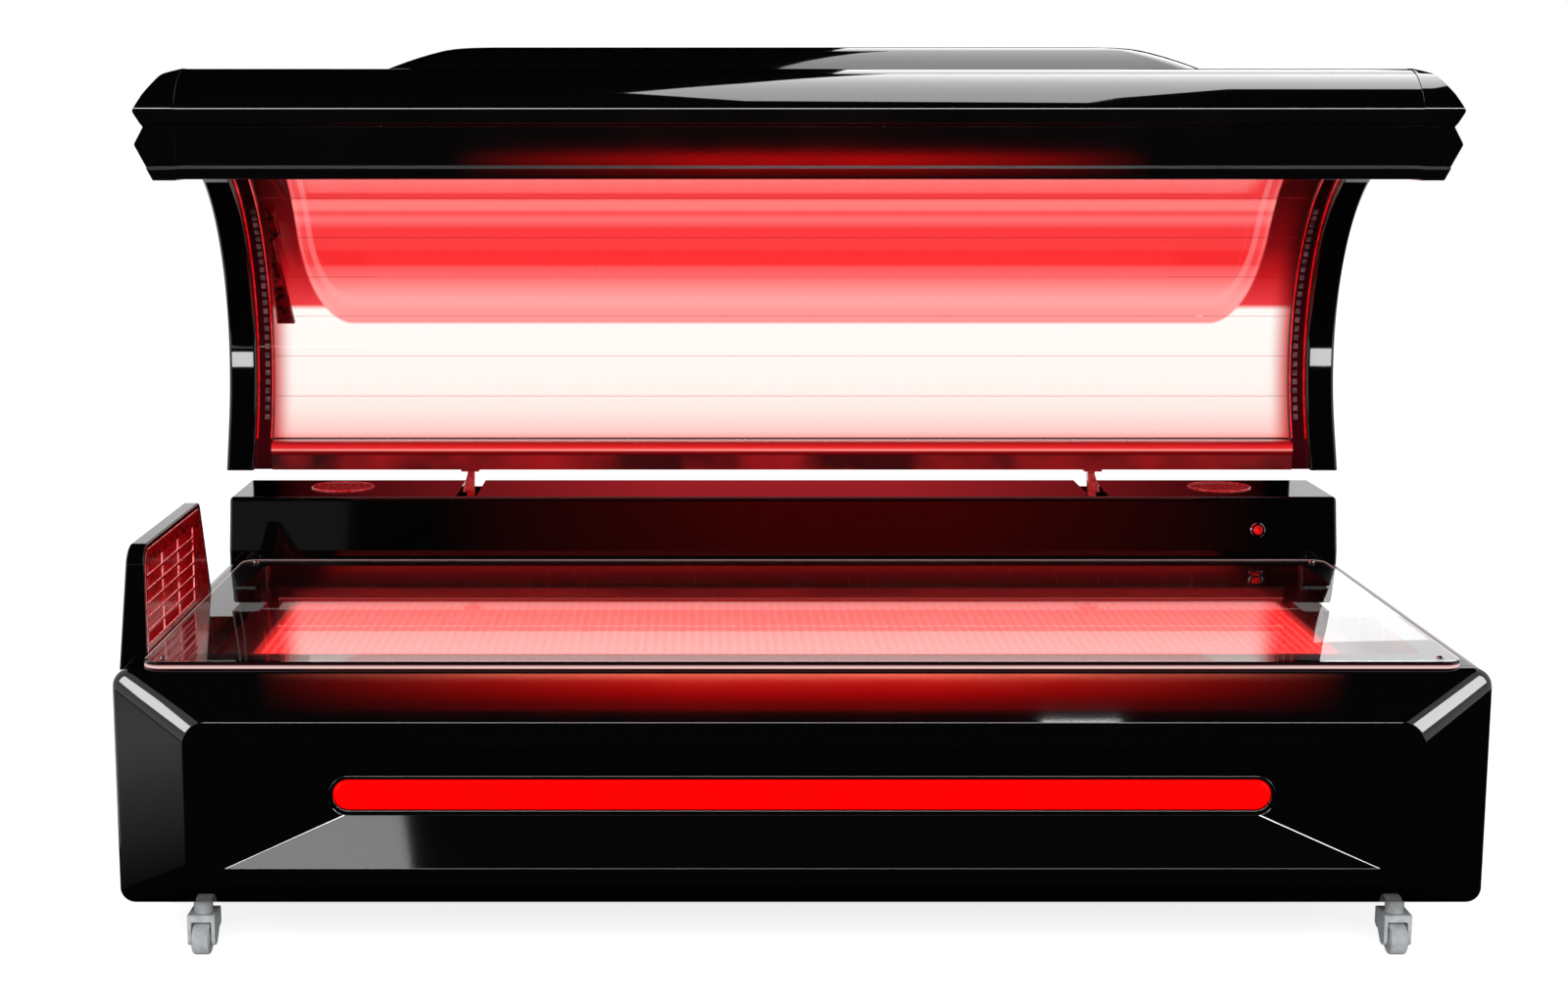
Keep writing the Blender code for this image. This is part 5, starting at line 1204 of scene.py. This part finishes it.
def acrylic_clips(side, word):
    """Row of small clips along an end frame: one is modelled and then copied round the arc."""
    clip_count, first, last = 26, math.radians(-20.0), math.radians(44.0)
    clip_turn = 0.0105 / CANOPY_RADIUS
    x_low, x_high = FLANGE_INNER_X + 0.008, FLANGE_INNER_X + 0.017
    section = [(x_low, 0.0100), (x_high, 0.0100), (x_high, 0.0136), (x_low, 0.0136)]
    rings = arc_rings(section, low=first, high=first + clip_turn, steps=2)
    clips = lofted(f"{word}_acrylic_clips", mirrored(rings, side))
    rounded(clips, 0.0006, 2)
    pitch = (last - first) / (clip_count - 1)
    pick(clips)
    bpy.ops.object.mode_set(mode="EDIT")
    bpy.ops.mesh.select_all(action="SELECT")
    for index in range(clip_count - 1):
        bpy.ops.mesh.duplicate()
        bpy.ops.transform.rotate(
            value=-pitch, orient_axis="X", center_override=(0.0, CANOPY_CENTRE_Y, CANOPY_CENTRE_Z)
        )
    bpy.ops.object.mode_set(mode="OBJECT")
    finished(clips, "canopy", "satin_black", "lamp_clip")


def lamp_holder():
    """Lamp holder in the canopy's left corner behind the acrylic: a wedge with a short block above it."""
    depth_low, depth_high = 0.024, 0.040
    reach = CANOPY_RADIUS + depth_low
    outer_x = FLANGE_INNER_X - 0.006
    blocks = []
    wedge, short_block = (1.118, 0.948, 0.010, 0.036), (1.174, 1.122, 0.018, 0.022)
    for top_z, low_z, top_width, low_width in (wedge, short_block):
        rings = []
        for height, width in ((low_z, low_width), (top_z, top_width)):
            angle = math.asin((height - CANOPY_CENTRE_Z) / reach)
            section = rectangle(width / 2, depth_low, depth_high, 0.004, 0.004)
            rings.append([arc_point(outer_x - width / 2 + x, depth, angle) for x, depth in section])
        block = lofted("left_lamp_holder", mirrored(rings, -1))
        rounded(block, 0.0020, 3)
        blocks.append(block)
    # The holder glows faintly with painted red light of the lamps
    finished(joined(blocks), "canopy", "satin_black", "lamp_holder")


def lower_rail():
    """Rail below the acrylic with a rounded nose, and the perforated strip under it."""
    half = FLANGE_INNER_X - FIT
    strip_low, strip_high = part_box("perforated_strip")
    back = CANOPY_DEPTH - WALL
    nose_back = lower_y(ACRYLIC_DEPTH + WALL, RAIL_TOP) + WALL
    outline = filleted([
        (strip_high.y + FIT, CANOPY_BOTTOM, 0),
        (lower_y(back, CANOPY_BOTTOM) - 2 * FIT, CANOPY_BOTTOM, 0),
        (lower_y(back, RAIL_STEP_Z) - 2 * FIT, RAIL_STEP_Z, 0),
        (nose_back, RAIL_STEP_Z + 0.004, 0),
        (nose_back, RAIL_TOP, 0),
        (RAIL_NOSE_Y, RAIL_TOP, 0.011),
        (RAIL_NOSE_Y, RAIL_STEP_Z, 0.006),
        (strip_high.y + FIT, RAIL_STEP_Z, 0),
    ], 8)
    rail = straight("canopy_foot_rail", outline, -half, half)
    # The rail's red bands are a painted reflection of the lamps
    finished(rail, "canopy", "gloss_black", "rail_lacquer", "canopy_lower_rail")
    face = box_outline(strip_low.y, strip_high.y, strip_low.z, strip_high.z, 0.0006)
    strip = straight("canopy_perforated_strip", face, -half, half)
    finished(strip, "canopy", "red_lens", "perforated", "perforated_strip")


class BED_OT_canopy(bpy.types.Operator):
    """Model the canopy's shell, acrylic, light panels, end frames, clips, lamp holder, rail and strip"""

    bl_idname = "bed.canopy"
    bl_label = "Canopy"

    def execute(self, context):
        canopy_sheets()
        for side, word in SIDES:
            end_frame(side, word, context.scene.bed_sizes)
            acrylic_clips(side, word)
        lamp_holder()
        lower_rail()
        return {"FINISHED"}


# Beam, caps and hood

BEAM_LOW, BEAM_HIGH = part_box("canopy_beam")
CAP_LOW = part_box("right_beam_cap")[0]
HOOD_LOW, HOOD_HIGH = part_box("canopy_hood")
BEAM_TOP = BEAM_LOW.z + 0.182
BEAM_STEP = 0.006
BEAM_STEP_Z = BEAM_LOW.z + 0.092


def beam_path():
    """Outer section of the beam: rounded top, crease, step, recessed face and lip."""
    rear, front = BEAM_HIGH.y, BEAM_LOW.y
    bottom, top = BEAM_LOW.z, BEAM_TOP
    lip_z = bottom + 0.021
    crease_z = bottom + 0.117
    crown_run, crown_rise = 0.108, top - crease_z
    crown_radius = (crown_run ** 2 + crown_rise ** 2) / (2 * crown_rise)
    crown_turn = math.asin(crown_run / crown_radius)
    crown = []
    for step_index in range(25):
        angle = crown_turn * step_index / 24
        y = front + crown_run - crown_radius * math.sin(angle)
        crown.append((y, top - crown_radius * (1 - math.cos(angle))))
    return [(rear, top - 0.018)] + crown[:-1] + filleted([
        crown[-2] + (0,),
        crown[-1] + (0.006,),
        (front, BEAM_STEP_Z, 0.0015),
        (front + BEAM_STEP, BEAM_STEP_Z - BEAM_STEP, 0.0015),
        (front + BEAM_STEP, lip_z, 0.0010),
        (front, lip_z - BEAM_STEP / 4, 0.0010),
        (front, bottom, 0.004),
        (rear, bottom, 0),
    ], 6)[1:]


def beam_and_caps():
    """Hollow front beam and an end cap with a waist groove on each end."""
    half = BEAM_HIGH.x
    section = ribbon(beam_path(), WALL)
    beam = straight("canopy_front_beam", section, -half, half)
    finished(beam, "canopy", "gloss_black", "gloss_black", "canopy_beam")
    seam, tip = CAP_LOW.x, half + FIT + 0.068
    bottom, top = BEAM_LOW.z, BEAM_TOP
    groove, edge = 0.016, 0.006
    groove_z = BEAM_STEP_Z - BEAM_STEP
    outline = filleted([
        (seam, bottom - WALL, 0),
        (tip - 2 * groove, bottom - WALL, 0),
        (tip, groove_z - 1.8 * groove, edge),
        (tip - groove, groove_z, edge / 2),
        (tip, groove_z + 1.6 * groove, edge),
        (tip - 0.015, top - 0.042, 4 * edge),
        (tip - 0.038, top - 0.009, 3 * edge),
        (seam, top + 2 * FIT, 0),
    ], 6)
    growth = 1.02
    middle_y, middle_z = (BEAM_LOW.y + BEAM_HIGH.y) / 2, (bottom + top) / 2
    proud = [
        (middle_y + (y - middle_y) * growth, middle_z + (z - middle_z) * growth) for y, z in beam_path()
    ]
    for side, word in SIDES:
        cap = lofted(f"{word}_beam_end_cap", mirrored([
            upright(outline, BEAM_LOW.y - WALL), upright(outline, BEAM_HIGH.y + WALL),
        ], side))
        inside = lofted("section", mirrored([across(proud, half), across(proud, tip + WALL)], side))
        cut(cap, inside, "INTERSECT")
        rounded(cap, 0.0025, 3)
        finished(cap, "canopy", "gloss_black", "gloss_black", f"{word}_beam_cap")


def hood():
    """Raised cowl whose ends curve down to the shell, trimmed to the shell below it."""
    half = HOOD_HIGH.x
    front, rear = HOOD_LOW.y, HOOD_HIGH.y
    foot = HOOD_HIGH.z - 0.040
    corner = 0.050

    def ring(inset, z):
        depth = inset * 0.6
        return level(rectangle(half - inset, front + depth, rear - depth, corner, corner), z)

    rings = [ring(0, foot - 0.138), ring(0, foot)]
    shoulder = ((0.014, 0.006), (0.034, 0.014), (0.056, 0.022), (0.078, 0.029))
    crown = ((0.096, 0.0340), (0.110, 0.0368), (0.124, 0.0386), (0.142, 0.0396), (0.170, 0.0400))
    for inset, rise in shoulder + crown:
        rings.append(ring(inset, foot + rise))
    piece = lofted("canopy_top_hood", rings)
    below = lofted("below", arc_rings(layer(END_X, 0, CANOPY_DEPTH + FIT), None, CANOPY_FRONT_Y - WALL))
    cut(piece, below)
    finished(piece, "canopy", "gloss_black", "gloss_black", "canopy_hood", smooth=50.0)


class BED_OT_beam(bpy.types.Operator):
    """Model the canopy's front beam, end caps and hood"""

    bl_idname = "bed.beam"
    bl_label = "Beam and Hood"

    def execute(self, context):
        beam_and_caps()
        hood()
        return {"FINISHED"}


# Hinges


def lift_strut(side, word):
    """Slanted round strut beside an arm, from the arm's foot down into the console's slot."""
    arm_low, arm_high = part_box(f"{word}_hinge_arm")
    pin_low, pin_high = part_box(f"{word}_hinge_pin")
    pin = (pin_low + pin_high) / 2
    middle_x = (arm_low.x + arm_high.x) / 2
    radius, lean, setback = 0.0040, 0.0125, 0.035
    rings = []
    for z, out in ((CONSOLE_HIGH.z - 0.008, lean), (CANOPY_BOTTOM - 0.004, 0.0)):
        y = pin.y + setback * (z - pin.z) / (CANOPY_BOTTOM - pin.z)
        rings.append(level(circle(radius, 24, (middle_x + side * out, y)), z))
    strut = lofted(f"{word}_lift_strut", rings)
    rounded(strut, 0.0006, 2)
    # The strut is red with painted red light of the lamps as a glow
    finished(strut, "canopy", "chrome", "strut_painted_red_light")


class BED_OT_hinges(bpy.types.Operator):
    """Round the hinge arms, model the struts beside them and finish the brackets, pins and gas springs"""

    bl_idname = "bed.hinges"
    bl_label = "Hinges and Gas Springs"

    def execute(self, context):
        for side, word in SIDES:
            arm = fine_copy(f"{word}_hinge_arm", f"{word}_lift_arm")
            rounded(arm, 0.0012, 3)
            # The arms are red with painted red light of the lamps as a glow
            finished(arm, "canopy", "chrome", "strut_painted_red_light", f"{word}_hinge_arm")
            lift_strut(side, word)
            coat("zinc", f"{word}_hinge_bracket")
            coat("chrome", f"{word}_hinge_pin", f"{word}_gas_rod")
            coat("satin_black", f"{word}_gas_cylinder")
        return {"FINISHED"}


# Casters


def caster_wheel(name, body):
    """Moulded wheel with a crowned tread and a dished hub."""
    low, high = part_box(f"{name}_caster_wheel")
    centre = (low + high) / 2
    radius = (high.z - low.z) / 2
    half = (high.x - low.x) / 2
    profile = [
        (0.0047, -half),
        (radius * 0.42, -half),
        (radius * 0.47, -half + 0.0006),
        (radius * 0.54, -half + 0.0030),
        (radius * 0.74, -half + 0.0030),
        (radius * 0.80, -half + 0.0006),
        (radius * 0.84, -half),
        (radius - 0.0030, -half),
        (radius - 0.0009, -half + 0.0015),
        (radius, -half + 0.0042),
    ]
    profile += [(reach, -along) for reach, along in reversed(profile)]
    rings = []
    for reach, along in profile:
        ring = circle(reach, ROUND_STEPS, (centre.y, centre.z))
        rings.append(across(ring, centre.x + along))
    wheel = looped(f"{name}_wheel_moulding", rings)
    finished(wheel, body, "caster_grey", "tread", f"{name}_caster_wheel")


class BED_OT_casters(bpy.types.Operator):
    """Model the four casters: wheels, forks and brake pedals"""

    bl_idname = "bed.casters"
    bl_label = "Casters"

    def execute(self, context):
        edge = context.scene.bed_sizes.caster_edge
        for name in ("front_left", "front_right", "rear_left", "rear_right"):
            caster_wheel(name, f"{name}_wheel")
            for piece, moulding in (("fork", "fork_moulding"), ("brake", "brake_pedal")):
                copy = fine_copy(f"{name}_caster_{piece}", f"{name}_{moulding}")
                rounded(copy, edge, 3)
                finished(copy, f"{name}_{piece}", "caster_grey", "nylon", f"{name}_caster_{piece}")
        return {"FINISHED"}


# Pieces inside the base


class BED_OT_inside(bpy.types.Operator):
    """Finish the chassis, the floor pan and the power supply"""

    bl_idname = "bed.inside"
    bl_label = "Chassis and Supply"

    def execute(self, context):
        coat("tube", "chassis_frame", "floor_pan")
        coat("zinc", "power_supply")
        return {"FINISHED"}


# Stage


def card(name, corners, material):
    """A card beside the set that only reflections and clear pieces see."""
    bpy.ops.object.select_all(action="DESELECT")
    bpy.ops.mesh.primitive_circle_add(vertices=len(corners), fill_type="NGON")
    item = bpy.context.object
    item.name = name
    for vertex, corner in zip(item.data.vertices, corners):
        vertex.co = corner
    item.data.materials.append(material)
    item.visible_camera = False
    item.visible_diffuse = False
    item.visible_shadow = False
    return item


def upright_card(x_low, x_high, y, z_low, z_high):
    """Corners of a card that stands across the set."""
    return [(x_low, y, z_low), (x_high, y, z_low), (x_high, y, z_high), (x_low, y, z_high)]


def flat_card(x_low, x_high, y_low, y_high, z):
    """Corners of a card that lies level."""
    return [(x_low, y_low, z), (x_high, y_low, z), (x_high, y_high, z), (x_low, y_high, z)]


def shine_on(item, pieces):
    """Let a lit card show on the named pieces alone."""
    group = bpy.data.collections.new(item.name)
    for piece in pieces:
        group.objects.link(bpy.data.objects[piece])
    item.light_linking.receiver_collection = group


def lit_cloth(material, light):
    """Cloth of a lit card: it gives light and hides nothing behind it."""
    clear = node(material.node_tree, "BsdfTransparent")
    return surface(material, node(material.node_tree, "AddShader", {0: light, 1: clear}))


def softbox(name, corners, strength, *pieces):
    """A white lit card that shows as a highlight on the named pieces."""
    material, tree, place = new_material(name)
    lit_cloth(material, node(tree, "Emission", {"Strength": strength}))
    shine_on(card(name, corners, material), pieces)


def glow_card(name, corners, strength, axis, stops, *pieces, solid=False):
    """A coloured lit card whose light runs through stops along one axis and fades out at its ends."""
    material, tree, place = new_material(name)
    split = node(tree, "SeparateXYZ", {"Vector": place})
    along = ["X", "Y", "Z"].index(axis)
    x_low, x_high = min(c[0] for c in corners), max(c[0] for c in corners)
    low, high = min(c[along] for c in corners), max(c[along] for c in corners)
    run = node(tree, "MapRange", {"Value": split.outputs[axis], "From Min": low, "From Max": high})
    length = node(tree, "MapRange", {"Value": split.outputs["X"], "From Min": x_low, "From Max": x_high})
    tone = node(tree, "ValToRGB", {"Fac": run}, stops)
    fade = node(tree, "ValToRGB", {"Fac": length}, [(0.02, 0.0), (0.40, 1.0), (0.62, 1.0), (0.98, 0.0)])
    light = node(tree, "VectorMath", {0: tone, 1: fade}, operation="MULTIPLY")
    lit = node(tree, "Emission", {"Color": light, "Strength": strength})
    if solid:
        surface(material, lit)
    else:
        lit_cloth(material, lit)
    shine_on(card(name, corners, material), pieces)


def lamp(name, place, aim, width, height, watts):
    """A softbox that the camera doesn't see."""
    data = bpy.data.lights.new(name, "AREA")
    data.shape = "RECTANGLE"
    data.size = width
    data.size_y = height
    data.energy = watts
    item = bpy.data.objects.new(name, data)
    bpy.context.scene.collection.objects.link(item)
    item.location = place
    item.rotation_euler = (Vector(aim) - Vector(place)).to_track_quat("-Z", "Y").to_euler()
    item.visible_camera = False
    item.visible_glossy = False
    item.visible_transmission = False


def black_velvet():
    """Cloth of the flags: takes all light."""
    material, tree, place = new_material("black_velvet")
    return surface(material, node(tree, "BsdfDiffuse", {"Color": (0.0, 0.0, 0.0, 1.0)}))


def seen_rays(tree):
    """1 for the camera, reflections and clear pieces, and 0 for light."""
    path = node(tree, "LightPath")
    seen = path.outputs["Is Camera Ray"]
    for ray in ("Is Glossy Ray", "Is Transmission Ray"):
        seen = node(tree, "Math", {0: seen, 1: path.outputs[ray]}, operation="MAXIMUM")
    return seen


def studio_floor():
    """White floor: white to the camera and in reflections, and still darker where the bed shades it."""
    material, tree, place = new_material("white_studio_floor")
    seen = seen_rays(tree)
    whiteness = 0.82
    shine = node(tree, "Math", {0: seen, 1: whiteness}, operation="MULTIPLY")
    paper = node(tree, "BsdfDiffuse", {"Color": "#e9e9e9"})
    light = node(tree, "Emission", {"Color": (1.0, 1.0, 1.0, 1.0), "Strength": shine})
    return surface(material, node(tree, "AddShader", {0: paper, 1: light}))


def studio_world():
    """White all round for the camera, reflections and clear pieces; a dim grey as light."""
    world = bpy.data.worlds.new("studio")
    bpy.context.scene.world = world
    world.use_nodes = True
    tree = world.node_tree
    tree.nodes.clear()
    seen = seen_rays(tree)
    strength = node(tree, "MapRange", {"Value": seen, "To Min": 0.45, "To Max": 1.0})
    back = node(tree, "Background", {"Color": (1.0, 1.0, 1.0, 1.0), "Strength": strength})
    node(tree, "OutputWorld", {"Surface": back})


def camera():
    """Camera at the photograph's place and angle."""
    data = bpy.data.cameras.new("camera")
    data.sensor_width = 36.0
    data.lens = 55.1
    data.shift_x = 0.0544
    item = bpy.data.objects.new("camera", data)
    item.location = (-0.165, -4.28, 1.373)
    item.rotation_euler = (math.radians(90.0 - 9.33), 0.0, 0.0)
    bpy.context.scene.collection.objects.link(item)
    bpy.context.scene.camera = item


def flags():
    """Black cards that keep the white room out of the gloss."""
    velvet = black_velvet()
    card("floor_flag", flat_card(-1.7, 3.2, -6.5, 1.15, 0.003), velvet)
    card("side_floor_flag", flat_card(-2.3, -1.7, -5.8, -2.4, 0.003), velvet)
    card("facet_floor_flag", flat_card(-3.4, -1.7, -2.4, -0.4, 0.003), velvet)
    card("front_flag", upright_card(-4.5, 4.5, -6.5, 0.0, 6.5), velvet)
    card("top_flag", flat_card(-4.5, 4.5, -6.5, 6.0, 6.5), velvet)
    card("rear_flag", upright_card(-4.5, 4.5, 6.0, 2.2, 6.5), velvet)


def softboxes():
    """White highlights, each on the pieces named with it."""
    fascia = ("front_fascia_skin", "light_bar_trim")
    beam = ("canopy_front_beam", "left_beam_end_cap", "right_beam_end_cap")
    wedge = [
        (-0.34, -0.45), (-0.05, -0.99), (0.80, -1.12), (0.85, -0.78), (1.10, -0.18),
        (1.59, -0.18), (1.95, 1.60), (0.35, 1.60), (-0.05, 0.28),
    ]
    softbox("beam_softbox", level(wedge, 3.2), 7.0, *beam)
    softbox("hood_wedge_softbox", level(wedge, 3.18), 3.2, "canopy_top_hood")
    crown = [(0.20, 1.65), (1.95, 1.65), (2.40, 4.70), (0.40, 4.70)]
    softbox("hood_softbox", level(crown, 3.2), 3.5, "canopy_top_hood", *beam)
    softbox("panel_softbox", upright_card(-2.3, 2.7, -5.4, 2.3, 2.9), 40.0, *fascia)
    softbox("crease_softbox", upright_card(-2.5, 2.9, -5.5, 1.80, 2.45), 50.0, *beam)
    softbox("plate_softbox", upright_card(1.3, 6.0, 5.9, 0.5, 3.3), 2.0, "lying_plate")
    softbox("left_strip", upright_card(-2.45, -2.05, -5.5, 0.35, 1.20), 14.0, "left_arc_frame")
    softbox("right_strip", upright_card(2.48, 2.90, -5.5, 0.15, 1.15), 14.0, "right_arc_frame")
    softbox("console_softbox", upright_card(-2.60, -1.70, -5.3, 1.75, 2.25), 0.15, "console_tower")
    softbox("funnel_softbox", flat_card(-1.80, -1.05, -3.6, -3.2, 2.35), 5.0, "front_fascia_skin")
    softbox("facet_softbox", flat_card(0.71, 0.91, -1.832, -1.812, 2.45), 18.0, "front_fascia_skin")
    softbox("left_mitre_softbox", upright_card(-5.5, -4.2, -4.5, 1.0, 2.6), 14.0, *fascia)
    softbox("right_mitre_softbox", upright_card(3.9, 6.0, -4.0, 0.9, 2.6), 14.0, *fascia)


def glows():
    """Red light from the lamps and grey from the floor, each on the pieces named with it."""
    console = ("console_tower", "left_speaker_trim", "right_speaker_trim")
    glow_card("spill_glow", upright_card(-1.27, 1.30, 1.6, 0.55, 1.15), 0.70, "Z", [
        (0.00, (1.0, 0.045, 0.060)), (1.00, (1.0, 0.045, 0.060)),
    ], "lying_plate", *console, solid=True)
    glow_card("arm_glow", flat_card(-4.0, 4.6, -5.0, -2.6, 0.020), 1.0, "Y", [
        (0.00, (1.0, 0.03, 0.03)), (1.00, (0.8, 0.02, 0.02)),
    ], "left_lift_arm", "right_lift_arm")
    glow_card("rail_glow", flat_card(-2.1, 2.5, -4.62, -3.95, 0.022), 9.0, "Y", [
        (0.00, (1.0, 0.20, 0.16)), (0.15, (1.0, 0.12, 0.10)), (0.35, (0.50, 0.004, 0.004)),
        (1.00, (0.12, 0.0, 0.0)),
    ], "canopy_foot_rail")
    glow_card("step_glow", flat_card(-1.05, 0.75, -0.42, -0.12, 0.56), 10.0, "Y", [
        (0.00, (1.0, 0.02, 0.02)), (1.00, (1.0, 0.02, 0.02)),
    ], "canopy_front_beam")
    glow_card("facet_glow", flat_card(-1.35, 1.55, -1.805, -1.690, 2.5), 28.0, "Y", [
        (0.00, (0.20, 0.002, 0.002)), (0.10, (0.07, 0.0, 0.0)), (0.45, (0.28, 0.0, 0.0)),
        (0.80, (0.42, 0.002, 0.002)), (0.93, (1.0, 0.16, 0.10)), (1.00, (1.0, 0.20, 0.12)),
    ], "front_fascia_skin")
    glow_card("left_facet_glow", flat_card(-3.4, -1.3, -2.2, -0.5, 0.006), 1.0, "X", [
        (0.00, 0.80), (0.52, 0.80), (0.65, 0.58), (0.81, 0.52), (0.91, 0.40), (1.00, 0.30),
    ], "front_fascia_skin")
    glow_card("beam_glow", upright_card(-1.15, 1.60, -5.45, 1.100, 1.215), 12.0, "Z", [
        (0.00, (0.16, 0.0, 0.0)), (0.44, (0.16, 0.0, 0.0)), (0.48, (0.40, 0.0, 0.0)),
        (0.66, (1.0, 0.004, 0.004)), (0.92, (0.25, 0.0, 0.0)), (1.00, 0.0),
    ], "canopy_front_beam")
    glow_card("console_glow", upright_card(-1.40, 2.40, -5.35, 1.75, 2.25), 1.0, "Z", [
        (0.00, (0.6, 0.0, 0.0)), (1.00, (1.0, 0.0, 0.0)),
    ], "console_tower")


class BED_OT_stage(bpy.types.Operator):
    """Set up the floor, world, flags, lamps and camera"""

    bl_idname = "bed.stage"
    bl_label = "Studio"

    def execute(self, context):
        context.scene.view_settings.view_transform = "Standard"
        camera()
        studio_world()
        bpy.ops.object.select_all(action="DESELECT")
        bpy.ops.mesh.primitive_plane_add(size=60.0)
        floor = context.object
        floor.name = "studio_floor"
        floor.data.materials.append(studio_floor())
        flags()
        softboxes()
        glows()
        lamp("fill_softbox", (0.0, -5.0, 2.6), (0.0, 0.0, 0.3), 4.0, 2.0, 120.0)
        return {"FINISHED"}


# Panel and registration


class BED_PT_panel(bpy.types.Panel):
    """Sidebar panel with every step of the bed's looks"""

    bl_idname = "BED_PT_panel"
    bl_label = "Light Bed"
    bl_space_type = "VIEW_3D"
    bl_region_type = "UI"
    bl_category = "Light Bed"

    def draw(self, context):
        for group in (context.scene.bed_sizes, context.scene.bed_colours):
            for name in group.__annotations__:
                self.layout.prop(group, name)
        for operator in OPERATORS:
            self.layout.operator(operator.bl_idname)


OPERATORS = (
    BED_OT_front,
    BED_OT_covers,
    BED_OT_plate,
    BED_OT_console,
    BED_OT_air_outlet,
    BED_OT_canopy,
    BED_OT_beam,
    BED_OT_hinges,
    BED_OT_casters,
    BED_OT_inside,
    BED_OT_stage,
)
CLASSES = (BedSizes, BedColours, *OPERATORS, BED_PT_panel)


def register():
    """Register the classes and put the settings on the scene."""
    for item in CLASSES:
        bpy.utils.register_class(item)
    bpy.types.Scene.bed_sizes = bpy.props.PointerProperty(type=BedSizes)
    bpy.types.Scene.bed_colours = bpy.props.PointerProperty(type=BedColours)


def unregister():
    """Take the settings and the classes away."""
    del bpy.types.Scene.bed_colours
    del bpy.types.Scene.bed_sizes
    for item in reversed(CLASSES):
        bpy.utils.unregister_class(item)


def main():
    """Dress the bed and set the stage."""
    register()
    mix_finishes(bpy.context.scene.bed_colours)
    bpy.ops.bed.front()
    bpy.ops.bed.covers()
    bpy.ops.bed.plate()
    bpy.ops.bed.console()
    bpy.ops.bed.air_outlet()
    bpy.ops.bed.canopy()
    bpy.ops.bed.beam()
    bpy.ops.bed.hinges()
    bpy.ops.bed.casters()
    bpy.ops.bed.inside()
    bpy.ops.bed.stage()


if __name__ == "__main__":
    main()
